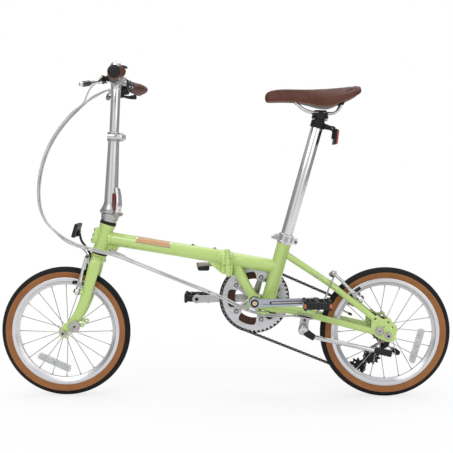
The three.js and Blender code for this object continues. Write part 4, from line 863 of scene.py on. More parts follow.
def handlepost_latch():
    x = LATCH_SIDE
    piece = Piece("handlepost_latch_handle", "handlepost_latch", ALLOY, place=POST)
    piece.tube(
        [(x, -x, 3), (x + 2, -x - 2, 26), (x, -x, 52), (x - 4.5, -x + 4.5, 74)],
        lambda t: (10.6 - 3 * t * t, 3.2 - 0.6 * t), sides=22, ends=1.2, side=(0.707, 0.707, 0),
    )
    piece.of(CATCH).tube(
        [(x - 7, -x - 7, 12), (x - 9, -x - 7, 34), (x - 12, -x - 4, 58)], lambda t: (4.6, 2.6), 14,
        side=(0.707, 0.707, 0),
    )
    piece.of(STEEL).rod((x - 9, -x - 9, 0), (x + 9, -x + 9, 0), 6, 6, 24, 1)
    piece.rod((x - 11.5, -x - 11.5, 0), (x + 11.5, -x + 11.5, 0), 3.2)
    piece.done("handlepost_latch_lever")


def height_clamp():
    z = CLAMP_TOP - 13
    piece = Piece("height_clamp_handle", "height_clamp", STEEL, place=POST)
    piece.rod((30, -14, z - 7), (30, -14, z + 7), 5.6, 5.6, 24, 1)
    piece.of(CHROME).tube(
        [(30, -16, z), (25, -23, z), (11, -27.4, z), (-4, -27.6, z), (-14, -25.5, z)],
        lambda t: (7.2 - 1.4 * t, 2.6), sides=20, ends=1.2, side=UP,
    )
    piece.done("height_clamp_lever")


def handlepost_stem():
    at = BAR_LOCAL
    piece = Piece("handlepost_stem", "handlebars", ALLOY, place=POST)
    piece.rod((0, 0, CLAMP_TOP - 96), (0, 0, at.z - 15), 13.5, 13.5, 48)
    piece.turned([(13.6, at.z - 28), (14.4, at.z - 24), (15.6, at.z - 14), (14, at.z - 6)], axis=UP)
    piece.of(SATIN)
    for y0, y1 in ((-20, -1), (1, 20)):
        piece.turned([
            (12.9, y0), (17.2, y0), (18.1, y0 + 1.2), (18.1, y1 - 1.2), (17.2, y1), (12.9, y1),
        ], (at.x, 0, at.z), 56, True)
    piece.turned([(12.9, -2), (17, -2), (17, 2), (12.9, 2)], (at.x, 0, at.z), 56, True)
    piece.block((at.x + 17.5, 0, at.z + 4), (13, 31, 15), 0, 2.4)
    for y in (-9.5, 9.5):
        piece.of(STEEL).rod((at.x + 22, y, at.z + 4), (at.x + 27.5, y, at.z + 4), 4.8, 4.4, 24, 0.8)
        piece.of(BLACK).hex((at.x + 27.2, y, at.z + 4), (at.x + 27.9, y, at.z + 4), 2.3)
    piece.done("handlepost_upper")


# ---------------------------------------------------------------- handlebar and controls
LEVER_PIVOT = V((-334, 148, 889))
LEVER_TIP = V((-368, 252, 871))


def handlebar():
    piece = Piece("handlebar_tube", "handlebars", BAR_ALLOY)
    points = [bar(y) for y in (-286, -200, -120, -62, -48, -22, 0, 22, 48, 62, 120, 200, 286)]
    piece.tube(points, BAR_R, 90, 36, 0.8, UP)
    piece.done("handlebar")


def grip(side):
    word = SIDES[side]
    piece = Piece(f"grip_{word}_cover", "handlebars", GRIP)
    wide, ribs = 14, 34
    rings = []
    sides, steps = 40, 132
    for i in range(steps + 1):
        t = i / steps
        centre = bar(side * (166 + 122.5 * t))
        flange = 1.6 * max(0, 1 - t / 0.05)
        base = 15.2 + 1.5 * t + 0.8 * sin(pi * t) + flange + 0.9 * max(0, (t - 0.94) / 0.06)
        palm = wide * max(0, min(1, (t - 0.3) / 0.3)) * (1 - max(0, (t - 0.93) / 0.07))
        rib = 0.35 * sin(TURN * ribs * t) if 0.06 < t < 0.94 else 0
        ring = []
        for k in range(sides):
            a = TURN * k / sides
            back = max(0, cos(a - 0.06)) ** 3
            r = base + palm * back + rib * (1 - 0.6 * back)
            ring.append(centre + V((cos(a) * r, 0, sin(a) * (r - 0.35 * palm * back))))
        rings.append(ring)
    ends = []
    for ring, y in ((rings[0], 166), (rings[-1], 288.5)):
        ends.append([p * 0.12 + bar(side * y) * 0.88 for p in ring])
    piece.skin([ends[0], *rings, ends[1]])
    end = bar(side * 290)
    piece.of(BLACK).rod(end - V((0, side * 3, 0)), end, 16.4, 15.6, 40, 1.2)
    piece.rod(end - V((0, side, 0)), end + V((0, side * 0.4, 0)), 6, 5, 24, 0.4)
    collar = bar(side * 165)
    piece.rod(collar - V((0, side * 2.4, 0)), collar + V((0, side * 2, 0)), 16.2, 16.6, 36, 1)
    piece.done(f"grip_{word}", slot="brown_grip", sharp=50)


def perch(side):
    word = SIDES[side]
    piece = Piece(f"brake_perch_{word}_body", "handlebars", BLACK)
    on = bar(side * 146)
    tilt = 0.33
    piece.ring(bar(side * 138), bar(side * 156), 16.3, 12.9, 36, 1.2)
    turn = Matrix.Rotation(tilt, 4, "Y")
    for z in (-6.4, 6.4):
        offset = turn @ V((0, 0, z))
        piece.block(V((on.x - 25, side * 147, on.z - 10)) + offset, (19, 17, 4), tilt, 1.5)
    piece.block((on.x - 17, side * 140, on.z - 7.5), (12, 12, 15), tilt, 2.4)
    piece.block((on.x - 28, side * 138, on.z - 11), (12, 8, 14), tilt, 2.4)
    a, b = (on.x - 29, side * 138, on.z - 11), (on.x - 34, side * 112, on.z - 15)
    piece.rod(a, b, 4.8, 4, 20)
    for t in (0.35, 0.55, 0.75):
        p, q = V(a).lerp(V(b), t), V(a).lerp(V(b), t + 0.11)
        piece.rod(p, q, 6.2, 6.2, 20, 0.8)
    piece.of(STEEL).rod(V(b), V(a).lerp(V(b), 1.32), 3.4, 3.2, 18)
    up = turn @ UP
    at = flip(LEVER_PIVOT, side)
    piece.rod(at - up * 9, at + up * 9.6, 2.6, 2.6, 16)
    piece.rod(at + up * 8.6, at + up * 10.8, 4.6, 3.8, 20, 0.8)
    piece.rod((on.x + 13, side * 147, on.z - 6), (on.x + 18.5, side * 147, on.z - 8), 3.6)
    piece.done(f"brake_perch_{word}", slot="black_plastic")


def brake_lever(side):
    word = SIDES[side]
    piece = Piece(f"brake_lever_{word}_blade", f"{word}_lever", ALLOY)
    pivot, tip = LEVER_PIVOT, LEVER_TIP
    points = [
        pivot + V((-1, 1, 0.3)), pivot + V((-6, 12, -3)), pivot + V((-14, 24, -6)),
        pivot + V((-22, 44, -10)), pivot + V((-29, 70, -14)), tip + V((2, -16, 2)), tip,
    ]
    piece.tube(
        [flip(p, side) for p in points], lambda t: (6.4 - 1 * sin(pi * t), 5.4 - 0.6 * t), 46, 22, 1.6,
        (0.32, 0, 0.95),
    )
    middle = [flip(points[3].lerp(points[4], k), side) for k in (0.1, 0.5, 0.9)]
    piece.of(DARK_STEEL).tube(
        middle + [flip(points[5], side)], lambda t: (7.6, 7.4), 14, 22, 1.6, (0.32, 0, 0.95),
    )
    piece.of(ALLOY)
    up = V((0.32, 0, 0.95)).normalized()
    at = flip(pivot, side)
    piece.rod(at - up * 3.1 + V((0, 0, 0.3)), at + up * 3.5, 7.4, 7.4, 28, 0.8)
    end = flip(tip, side)
    piece.rod(end - up * 5.4 + V((0, -side * 2, 0)), end + up * 5.4 + V((0, -side * 2, 0)), 6, 6, 24, 2.2)
    piece.done(f"brake_lever_{word}")


def shifter():
    on = bar(118)
    piece = Piece("shifter_pod", "handlebars", BLACK)
    piece.ring(bar(109), bar(127), 16.4, 12.9, 36, 1.2)
    piece.turned([
        (12, 0), (15, 0.6), (16.4, 3), (17.6, 8), (17.4, 14), (15.6, 17), (10, 17.6),
    ], (on.x - 4, 118, on.z - 14.5), axis=(0.08, 0, -1))
    piece.block((on.x - 19, 118, on.z - 27), (36, 28, 21), 0.1, 5)
    a, b = V((on.x - 24, 110, on.z - 23)), V((on.x - 47, 104, on.z - 18))
    piece.of(STEEL).rod(a, b, 4.4, 3.6)
    for t in (0.4, 0.6, 0.8):
        piece.rod(a.lerp(b, t), a.lerp(b, t + 0.12), 5.6, 5.4, 20, 0.7)
    piece.of(SATIN).turned(
        [(13, 0), (14.6, 0.5), (14.6, 1.4), (13, 1.9)], (on.x - 3.4, 118, on.z - 25), 36,
        axis=(0.08, 0, -1),
    )
    piece.of(STEEL).rod((on.x + 13, 118, on.z - 7), (on.x + 18, 118, on.z - 9), 3.4)
    piece.done("shifter", slot="black_plastic")


def thumb_lever():
    on = bar(118)
    piece = Piece("shift_thumb_paddle", "shift_thumb_lever", BLACK)
    piece.rod((on.x - 2, 118, on.z - 35), (on.x - 1.6, 118, on.z - 40), 12, 11.2, 36, 1.2)
    piece.tube(
        [(on.x + 4, 121, on.z - 38.4), (on.x + 17, 131, on.z - 38.4), (on.x + 31, 140, on.z - 36)],
        lambda t: (3.4 + 4.4 * t, 4.4 + 1 * t), 18, 18, 2, (0, 0, 1),
    )
    for i in range(4):
        x = on.x + 20 + 3 * i
        piece.tube([
            (x, 131.6 + 2.2 * i, on.z - 43), (x, 130.6 + 2.2 * i, on.z - 37),
            (x, 131.6 + 2.2 * i, on.z - 32),
        ], 0.8, 4, 8)
    piece.of(STEEL).rod((on.x - 1.7, 118, on.z - 39), (on.x - 1.5, 118, on.z - 41), 4.4, 4, 24, 0.6)
    piece.done("shift_lever", slot="black_plastic")


def bell():
    on = bar(-88)
    piece = Piece("bell_dome", "handlebars", CHROME)
    piece.of(BLACK).ring(bar(-94), bar(-82), 15.4, 12.9, 32, 1)
    piece.rod((on.x + 7, -88, on.z + 12), (on.x + 7, -88, on.z + 25), 6, 4.6)
    piece.turned([(5, 21), (14.6, 22), (15.4, 24), (14.4, 26), (5, 26)], (on.x + 7, -88, on.z), axis=UP)
    dome = [
        (13.6, 25.4), (15.6, 25.2), (16, 26.6), (16, 31), (15, 35.4), (12.6, 38.8), (8.8, 41), (4.4, 41.9),
        (0, 42),
    ]
    piece.of(CHROME).turned(dome, (on.x + 7, -88, on.z), 56, axis=UP)
    piece.of(STEEL).rod((on.x + 7, -88, on.z + 41.2), (on.x + 7, -88, on.z + 42.8), 3, 2.2, 20, 0.8)
    piece.done("bell", slot="black_metal")


def bell_striker():
    on = bar(-88)
    pivot = V((on.x + 25, -88, on.z + 24))
    piece = Piece("bell_striker_arm", "bell_hammer", BLACK)
    piece.rod(pivot - V((0, 4, 0)), pivot + V((0, 4, 0)), 3.4, 3.4, 20)
    piece.tube([
        pivot + V((-2, 0, 4)), pivot + V((4, 0, 4)), pivot + V((8, 0, 3)), pivot + V((12, 0, 1)),
    ], lambda t: (6, 4.8 - 1.6 * t), 14, 18, 2)
    piece.done("bell_striker", slot="black_metal")


# ---------------------------------------------------------------- front frame
TUBE_LEAN = atan2(33.8, 210.8)
BADGE = {"from": -255, "to": -157, "low": 6, "high": 74}


def wrap(piece, x0, x1, r0, r1, low, high):
    """A curved plate on the left of the main tube, between two angles above the horizontal."""
    up = V((sin(TUBE_LEAN), 0, cos(TUBE_LEAN)))
    rings = []
    for x in (x0, x0 + (x1 - x0) / 3, x1 - (x1 - x0) / 3, x1):
        outer, inner = [[
            main_tube(x) + V((0, -1, 0)) * r * cos(a) + up * r * sin(a)
            for a in (radians(low + (high - low) * i / 12) for i in range(13))
        ] for r in (r1, r0)]
        rings.append(outer + inner[::-1])
    piece.skin(rings)


def front_frame():
    piece = Piece("front_frame_body", "front_frame", PAINT)
    axis = HEAD.to_3x3() @ UP
    foot = HEAD.translation
    piece.turned([
        (15.2, -43), (22.2, -43), (22.8, -42), (22.6, -38), (21.2, -30), (20.2, -25), (20, -20), (20, 18),
        (20.3, 24), (21.4, 30), (22.6, 37), (22.8, 40), (22.2, 41), (15.2, 41),
    ], foot, 64, True, axis)
    turn = HEAD.to_3x3().to_4x4()
    piece.block(HEAD @ V((-23, 0, 1)), (16, 26, 46), 0, 2.6, turn)
    for z in (-14, 1, 16):
        piece.of(BLACK).rod(HEAD @ V((-30, 0, z)), HEAD @ V((-33.6, 0, z)), 5, 4.4, 24, 1)
        piece.rod(HEAD @ V((-33, 0, z)), HEAD @ V((-33.8, 0, z)), 2.2, 2.2, 6, 0.1)
    piece.of(PAINT)
    piece.rod(main_tube(-336), main_tube(-3), TUBE_R, TUBE_R, 64)
    for x, r in ((-326.5, 20.3), (-324.5, 20.1)):
        piece.rod(main_tube(x - 5), main_tube(x), r, r, 64, 0.5)
    piece.turned(
        [(15, -14), (19.6, -14), (20.2, -8), (21, -0.5), (15, -0.5)], main_tube(-4), 56, True,
        (1, 0, -0.16),
    )
    piece.slab([
        (-357, 413), (-341, 452), (-296, 444), (-304, 428), (-314, 412), (-326, 408),
    ], -7, 7, ease=1.4)
    piece.pin(-324, 420, -16.5, -5, 8.6, 28, 1.2)
    piece.of(DARK_STEEL).pin(-324, 420, -21, -15, 5.6, 28, 1.2)
    piece.pin(-324, 420, -22, -20.6, 2.6, 6, 0.1)
    piece.of(PAINT).slab([
        (-50, 398), (-48, 386), (-30, 370), (-8, 352), (-3, 352), (-3, 398),
    ], -7, 7, ease=1.6)
    for x in (-92.5, -30.2):
        z = main_tube(x).z
        piece.of(PAINT).rod((x, 0, z + 15), (x + 0.6, 0, z + 20.6), 6.4, 5.4)
        piece.of(DARK_STEEL).rod((x + 0.6, 0, z + 20.4), (x + 0.8, 0, z + 23), 4.4, 3.6, 24, 0.8)
    hinge_half(piece, -1)
    piece.of(PAINT).block((3.5, 29, 388), (6, 8, 20), 0, 1.2)
    piece.block((10, 31.5, 388), (16, 6, 20), 0, 1.2)
    b = BADGE
    wrap(piece.of(CHROME), b["from"], b["to"], 19.2, 20.1, b["low"], b["high"])
    wrap(piece.of(WOOD), b["from"] + 2.4, b["to"] - 2.4, 19.4, 20.4, b["low"] + 5, b["high"] - 4)
    piece.of(DARK_STEEL).rod((-2.4, 36, 388), (17, 36, 388), 3.4)
    piece.done("front_frame", slot="frame_paint")


def hinge_pin_at(z):
    return V((9 + (z - 388) * tan(radians(-2.5)), -38, z))


HINGE_FACE = [
    (-30, 357), (-24, 354), (16, 352), (23, 355), (27, 363), (27, 400), (22, 409), (12, 413.6),
    (-16, 413.6), (-26, 409), (-30, 403),
]
KNUCKLES = {-1: [(381.3, 399.7)], 1: [(349, 381), (400, 421)]}


def hinge_half(piece, half):
    """One plate of the folding joint with its knuckles. half is -1 for the front and 1 for the rear."""
    x0, x1 = (-8.6, 6.85) if half < 0 else (7.15, 22.6)
    stand = Matrix.Rotation(radians(90), 4, "Z")
    piece.of(PAINT).slab(HINGE_FACE, -x1, -x0, ease=2.2, place=stand)
    for z0, z1 in KNUCKLES[half]:
        if half < 0:
            piece.rod(hinge_pin_at(z0), hinge_pin_at(z1), 8, 8, 36, 0.9)
        else:
            low, high = hinge_pin_at(z0), hinge_pin_at(z1)
            piece.turned([
                (4, 0), (6.4 if z0 < 381 else 7.4, 0), (8 if z0 > 381 else 7, 0.9), (8, 6),
                (8, z1 - z0 - 0.8), (7.2, z1 - z0), (4, z1 - z0),
            ], low, 36, axis=high - low)
        middle = (x0 + 7) / 2 if half < 0 else (7 + x1) / 2
        top = min(z1, 412)
        piece.block((middle, -32, (z0 + top) / 2), (14.6, 15, top - z0 - 1), 0, 2.6)


def hinge_pin():
    piece = Piece("frame_hinge_pin_body", "rear_frame", STEEL)
    piece.rod(hinge_pin_at(347), hinge_pin_at(422), 3.4, 3.4, 20)
    piece.of(PAINT).turned(
        [(3, 0), (7.6, 0), (7.5, 2), (6.2, 4.2), (3.4, 5.4), (0, 5.7)], hinge_pin_at(421.1), 36,
        axis=hinge_pin_at(440) - hinge_pin_at(421),
    )
    piece.done("frame_hinge_pin", slot="drive_steel")


def frame_latch():
    piece = Piece("frame_latch_handle", "frame_latch", BRASS_DARK)
    piece.rod((-9, 36, 372), (-10, 36, 404), 7.6, 7.2, 32, 1.2)
    piece.of(STEEL).rod((-8.8, 36, 369), (-10.2, 36, 407), 3.4)
    piece.of(BRASS_DARK).tube(
        [(-11, 36, 380), (-24, 34, 378), (-50, 33, 375.8), (-70, 32, 374.4), (-82, 31, 373.4)],
        lambda t: (5.4 + 2.6 * t, 4.6), 26, 22, 1.6, (0, 0, 1),
    )
    piece.of(STEEL).tube(
        [(-46, 28.4, 379), (-62, 27.6, 378), (-76, 27, 377)], lambda t: (2.2, 0.9), 12, 12, side=UP,
    )
    pad = [(-80, 370), (-80, 361), (-76, 357.5), (-50, 357.5), (-46, 361), (-46, 370)]
    piece.of(RUBBER).slab(pad, 27, 37, ease=1.8)
    piece.done("frame_latch_lever")


def headset():
    piece = Piece("headset_top_cup", "front_frame", BLACK, place=HEAD)
    profile = [
        (14.8, 41.3), (22.6, 41.3), (24, 42.4), (24, 45), (22.8, 46), (22.8, 46.6), (23.6, 47.4),
        (23, 49.8), (14.8, 49.8),
    ]
    piece.turned(profile, sides=64, loop=True, axis=UP)
    piece.of(STEEL).turned([
        (14.8, 49.6), (19, 49.6), (18.6, 50.2), (14.8, 50.2),
    ], sides=48, loop=True, axis=UP)
    piece.done("headset_upper", slot="drive_steel")
    piece = Piece("headset_low_cup", "front_frame", BLACK, place=HEAD)
    profile = [
        (14.8, -48), (22, -48), (23.4, -47.2), (23.8, -45.4), (23.4, -43.6), (22.6, -43.3), (14.8, -43.3),
    ]
    piece.turned(profile, sides=64, loop=True, axis=UP)
    piece.done("headset_lower", slot="drive_steel")


# ---------------------------------------------------------------- rear frame
KICK_PIVOT = V((222, -60, 202))
KICK_AXIS = V((0.05, 0.93, 0.36)).normalized()


def rear_frame():
    piece = Piece("rear_frame_body", "rear_frame", PAINT)
    low, high = seat(262), seat(438)
    span = (high - low).length
    piece.turned([
        (17.4, 0), (19.8, 0), (20, 0.6), (20, span - 6), (20.6, span - 5), (20.6, span - 0.8), (20, span),
        (17.4, span),
    ], low, 64, True, high - low)
    piece.rod((20, 0, 394.3), (147, 0, 372.8), TUBE_R, TUBE_R, 64)
    piece.turned([(15, 0), (21, 0), (20.4, 6), (19.6, 14), (15, 14)], (20, 0, 394.3), 56, True, (1, 0, -0.17))
    piece.tube(
        [(30, 0, 378), (43, 0, 352), (64, 0, 314), (80, 0, 288)],
        lambda t: (13.5, 16.6 - 3.4 * min(1, 1.4 * t)), 16, 40,
    )
    piece.pin(CRANK.x, CRANK.z, -34, 34, 20, 56, 1.2)
    piece.ring(CRANK - V((0, 34.6, 0)), CRANK - V((0, 32, 0)), 20.8, 16.2, 56)
    piece.tube(
        [(158, 0, 419), (198, 0, 392.4), (232, 0, 369.8), (268, 0, 345.8), (292, 0, 329.8)],
        lambda t: (10.4 + 1.6 * t * t, 10.2 - 0.8 * t), 30, 30,
    )
    piece.of(SATIN).pin(259.5, 347, -11.6, -8, 4.6, 24, 0.8)
    piece.of(PAINT).rod((146, 0, 262), (152, 0, 240), 6, 6, 24)
    piece.block((153, 0, 253), (24, 46, 15), 0.1, 4)
    piece.block((109, -29, 243), (34, 16, 3.4), 0.1, 1)
    for y in (-36, -22.6):
        piece.block((109, y, 245), (34, 2.2, 6), 0.1, 0.7)
    piece.block((94, -28, 254), (4, 12, 22), 0, 1)
    piece.block((66, -20, 259), (9, 12, 12), 0, 1.6)
    for side in SIDES:
        piece.tube([
            (99, side * 26.6, 263), (120, side * 27.2, 257.5), (150, side * 26.4, 253),
            (190, side * 27.6, 248.6), (300, side * 46, 225), (390, side * 60, 203), (434, side * 66, 193),
        ], lambda t: (9.4 - 4.6 * t**3, 9.6 - 1.2 * t), 46, 26)
        piece.tube([
            (262, 0, 349.7), (280, side * 3, 337.7), (297, side * 15, 326.4), (312, side * 28, 316),
            (332, side * 37, 301), (380, side * 55, 265), (403, side * 61.5, 247), (430, side * 66, 225),
        ], lambda t: (9 - 4.2 * t**3, 9.2 - 1.2 * t), 46, 26)
        dropout(piece, side)
        normal = V((cos(REAR_ARM_LEAN), 0, -sin(REAR_ARM_LEAN)))
        base = flip(REAR_PIVOT, side)
        piece.of(PAINT).rod(base - normal * 19, base - normal * 6.4, 8, 7)
        piece.rod(base - normal * 18 + V((0, side * 7, 0)), base - normal * 15 + V((0, side, 0)), 7, 7)
        piece.of(STEEL).rod(base - normal * 6.2, base + normal * 5, 3.8)
        piece.of(PAINT)
    hanger = [(447, 176), (471, 176), (475, 158), (474, 149), (466, 142), (457, 144), (453, 152)]
    piece.slab(hanger, 65, 70, ease=1)
    bracket = [
        (206, 243), (246, 235), (246, 229), (239, 226), (236, 206), (232, 194), (214, 194), (210, 206),
        (214, 232), (207, 236),
    ]
    piece.of(SATIN).slab(bracket, -53, -49, ease=1)
    piece.slab([(205, 244), (247, 236), (246, 229), (206, 237)], -53, -30, ease=1)
    piece.rod(KICK_PIVOT, KICK_PIVOT + KICK_AXIS * 14, 8, 8)
    piece.of(DARK_STEEL).pin(226, 226, -56, -52, 4.4, 6, 0.5)
    hinge_half(piece, 1)
    piece.done("rear_frame", slot="frame_paint")


def dropout(piece, side):
    outline = [
        (411, 207), (412, 222), (414, 234), (421, 241), (430, 243), (437, 236), (446, 232), (454, 233),
        (461, 237), (467, 232), (470, 224), (476, 219), (483, 213), (484, 203), (482, 190), (479, 174),
        (470, 169), (456, 168), (436, 176), (422, 185),
    ]
    holes = [arc(3.2, 0, 340, 16, at) for at in ((446, 211), (459, 223), (470, 208))]
    y0, y1 = y_range(side, 65, 70)
    piece.of(PAINT).slab(outline, y0, y1, holes=holes, ease=1.1)
    piece.rod((420, side * 66, 229), (430, side * 66, 220), 6.4, 5)
    piece.of(DARK_STEEL).pin(422, 233, *y_range(side, 69, 71.6), 3)
    piece.of(PAINT)


def kickstand():
    piece = Piece("kickstand_set", "kickstand", SATIN)
    out = -KICK_AXIS
    hub_at = KICK_PIVOT + out
    piece.of(STEEL).turned([
        (0, 0), (13.4, 0), (14.6, 1.2), (14.6, 8.6), (13.4, 10.4), (11.4, 11.4), (10.8, 10.6), (0, 10.6),
    ], hub_at, 48, axis=out)
    piece.of(CHROME).turned([(0, 2.6), (8, 2), (11.6, 0), (12, -1)], hub_at + out * 11, axis=out)
    piece.of(STEEL).rod(hub_at + out * 12, hub_at + out * 14, 4.4, 4, 6, 0.4)
    piece.of(BLACK).tube([
        hub_at + out * 3 + V((4, 0, -4)), KICK_PIVOT.lerp(V((248, -70, 181)), 0.62) + out * 3,
        (252, -70, 179),
    ], lambda t: (8, 11 - 2 * t), 12, 24, 1.4)
    start, end = V((244, -70, 183)), V((428, -76, 143.6))
    piece.of(CHROME).rod(start, end, 6.6, 6, 32)
    piece.tube([
        start.lerp(end, 0.12) - V((0, 5.6, 0)), start.lerp(end, 0.5) - V((0, 5.7, 0)),
        start.lerp(end, 0.88) - V((0, 5.3, 0)),
    ], lambda t: (0.8, 2.2), 20, 12)
    piece.of(RUBBER).tube(
        [(420, -75.8, 145.2), (436, -76.2, 142), (456, -76.8, 138.5), (467, -77.2, 136)],
        lambda t: (8.2 + 1.2 * t, 8.2 + 1.6 * t), 20, 26, 2,
    )
    for t in (0.25, 0.45, 0.65, 0.85):
        centre = V((420, -75.8, 145.2)).lerp(V((467, -77.2, 136)), t)
        along = V((0.98, -0.03, -0.19))
        piece.rod(centre - along * 1.2, centre + along * 1.2, 9.4 + 1.1 * t, 9.4 + 1.1 * t, 30, 0.5)
    piece.done("kickstand_leg")


# ---------------------------------------------------------------- seat
def seat_clamp():
    piece = Piece("seat_clamp_band", "rear_frame", ALLOY)
    low, high = seat(438.4), seat(466)
    span = (high - low).length
    piece.turned([
        (17.2, 0), (21, 0), (22, 1), (22, 6.4), (20.8, 7.6), (20.8, span - 7.6), (22, span - 6.4),
        (22, span - 1), (21, span), (17.2, span),
    ], low, 56, True, high - low)
    turn = Matrix.Rotation(SEAT_LEAN, 4, "Y")
    x = seat(452).x
    for side in SIDES:
        piece.block((x + 26, side * 6, 446), (15, 6.4, 19), 0, 2.2, turn)
    piece.of(SATIN).block((x + 1, -20.4, 451), (12, 4, 17), 0, 1.6, turn)
    piece.of(ALLOY)
    front = V((seat(460).x - 26, 0, 459))
    piece.turned([(0, -9), (8.2, -9), (9, -8), (9, 8), (8.2, 9), (0, 9)], front)
    piece.block(front + V((7, 0, -0.6)), (12, 14, 14), SEAT_LEAN, 2.4)
    piece.of(STEEL).turned([(0, -10.4), (4.6, -10.4), (5.2, -9.6), (5.2, -8.6), (0, -8.6)], front, 32)
    piece.pin(front.x, front.z, -10.9, -10, 2.4, 6, 0.1)
    piece.pin(x + 29, 444, -14, 14.8, 3.4)
    piece.hex((x + 29, -14, 444), (x + 29, -9, 444), 6)
    piece.done("seat_clamp")


def seat_clamp_lever():
    piece = Piece("seat_clamp_handle_body", "seat_clamp_handle", ALLOY)
    at = seat(452).x + 29
    piece.rod((at - 1.8, 17.6, 437), (at + 1.8, 17.6, 450), 6.2, 6.2, 32, 1)
    piece.tube(
        [(at, 20, 444), (at - 12, 28, 446), (at - 30, 30, 449.4), (at - 48, 28.6, 453), (at - 67, 24, 458)],
        lambda t: (7.2 - 1.8 * t, 3.2 - 0.6 * t), 30, 22, 1.6, (0, 0, 1),
    )
    piece.done("seat_clamp_lever")


SADDLE = [
    (113.6, 5, 858, 851), (116, 11, 864.5, 844), (121, 16, 869.5, 841.6), (130, 20, 873.6, 841),
    (146, 22.5, 876.6, 841.4), (170, 24, 878.2, 841.8), (200, 27, 878, 840.6), (222, 32, 877.4, 837),
    (245, 42, 877.2, 832.6), (265, 53, 877.6, 828), (285, 64, 878.2, 825.4), (305, 73, 879.4, 826.6),
    (325, 78.5, 881, 835), (345, 79, 883.2, 843.4), (360, 74, 884.6, 850.6), (372, 64, 885.2, 857.6),
    (379, 52, 885, 863.4), (382.6, 38, 882.6, 869),
]


def saddle():
    """The padded cover, closed underneath by a shell, with creases and lacing slots near its rear edge."""
    piece = Piece("saddle_cover", "seat", LEATHER)
    stations = [V((x, half, top)) for x, half, top, _ in SADDLE]
    lows = [V((x, half, low)) for x, half, _, low in SADDLE]
    steps, sides = 150, 72
    uppers, lowers = smooth_path(stations, steps + 1), smooth_path(lows, steps + 1)
    rings = []
    for i in range(steps + 1):
        x, half, top = uppers[i]
        low = lowers[i].z
        ring = []
        for k in range(sides):
            a = TURN * k / sides
            c, s = cos(a), sin(a)
            y = half * copysign(abs(c) ** 0.72, c)
            share = abs(y) / half if half else 0
            if s >= 0:
                crown = top - (2.2 + 0.05 * half) * share**2
                fall = (top - low) * max(0, share - 0.42) ** 2.1 * 2.5
                z = max(crown - fall * (0.52 if x > 235 else 0.7), low)
                lip = 2.6 * exp(-(((x - 366 + 0.1 * abs(y)) / 7) ** 2))
                fold = 2.4 * exp(-(((x - 344 - 0.35 * (half - abs(y))) / 5.5) ** 2)) * min(1, share * 1.6)
                z += lip * 0.5 - fold
                dip = 1.6 * exp(-((y / 9) ** 2)) if 170 < x < 350 else 0
                z -= dip * min(1, (x - 170) / 30, (350 - x) / 30)
            else:
                z = low + 3.4 * (1 - share**2)
            ring.append((x, y, z))
        rings.append(ring)
    faces = piece.skin(rings)
    piece.of(BLACK)
    for face in faces:
        if face.calc_center_median().z < 869 and face.normal.z < -0.975:
            face.material_index = piece.index
    for side in SIDES:
        for x, y, z in ((338, 67, 866.4), (349, 60, 872.2)):
            slot_at = V((x, side * y, z))
            piece.of(BLACK).tube([
                slot_at + V((-5, -side, -3)), slot_at + V((0, 0, 0.6)), slot_at + V((5, side, 3.6)),
            ], lambda t: (1.7, 0.9), 10, 12)
        edge = [(p, low) for p, low in zip(uppers, lowers)][8:146:4]
        seam = [V((p.x, side * (p.y + 0.15), low.z + 1.2)) for p, low in edge]
        for a, b in zip(seam, seam[1:]):
            out = V((0, side * 0.35, 0))
            piece.of(STITCH).rod(a.lerp(b, 0.12) + out, a.lerp(b, 0.8) + out, 0.75, 0.75, 8, 0.2)
    piece.done("saddle", slot="brown_saddle_cover", sharp=62)


def saddle_rails():
    piece = Piece("saddle_rail_set", "seat", CHROME)
    for side in SIDES:
        piece.of(CHROME).tube([
            (199, side * 12, 841), (206, side * 13.6, 836), (216, side * 17, 826.5), (232, side * 21, 817),
            (250, side * 22, 812.6), (276, side * 22, 811), (302, side * 23, 809.4), (316, side * 28, 814),
            (326, side * 36, 827), (331, side * 41, 839),
        ], 3.5, 60, 20)
        piece.of(BLACK).tube([
            (329, side * 40, 834), (331, side * 44, 840), (333, side * 50, 845),
        ], lambda t: (6, 5), 10)
        for x in (254, 286):
            piece.of(STEEL).rod((x - 2, 0, 792), (x, 0, 816), 3.2)
    piece.of(BLACK).block((270, 0, 806.4), (42, 54, 9), 0.03, 2.4)
    piece.block((270, 0, 815.4), (34, 54, 5), 0.03, 1.8)
    piece.rod((270, -28, 803), (270, 28, 803), 10.5, 10.5, 40, 1.4)
    piece.block((270, 0, 799), (46, 30, 8), 0.03, 2.2)
    for x in (252, 288):
        piece.of(STEEL).rod((x, 0, 788), (x, 0, 796), 3.4)
        piece.of(SATIN).rod((x, -9, 796), (x, 9, 796), 4.6, 4.6, 24)
    piece.of(BLACK).turned(
        [(16.6, -1), (16.6, 6), (15.2, 9), (13, 18), (10, 22)], seat(787), 48,
        axis=(sin(SEAT_LEAN), 0, cos(SEAT_LEAN)),
    )
    piece.block((203, 0, 838.4), (8, 28, 6), 0, 1.8)
    piece.done("saddle_rails", slot="drive_steel")


def seat_post():
    piece = Piece("seat_post_tube", "seat", ALLOY)
    low, high = seat(300), seat(787)
    span = (high - low).length
    piece.turned([
        (15.2, 0), (16.6, 0), (16.95, 0.6), (16.95, span - 1), (16.4, span), (15.2, span),
    ], low, 72, True, high - low)
    piece.of(BLACK).rod(seat(301), seat(306), 15.3, 15.3, 48)
    piece.done("seat_post")


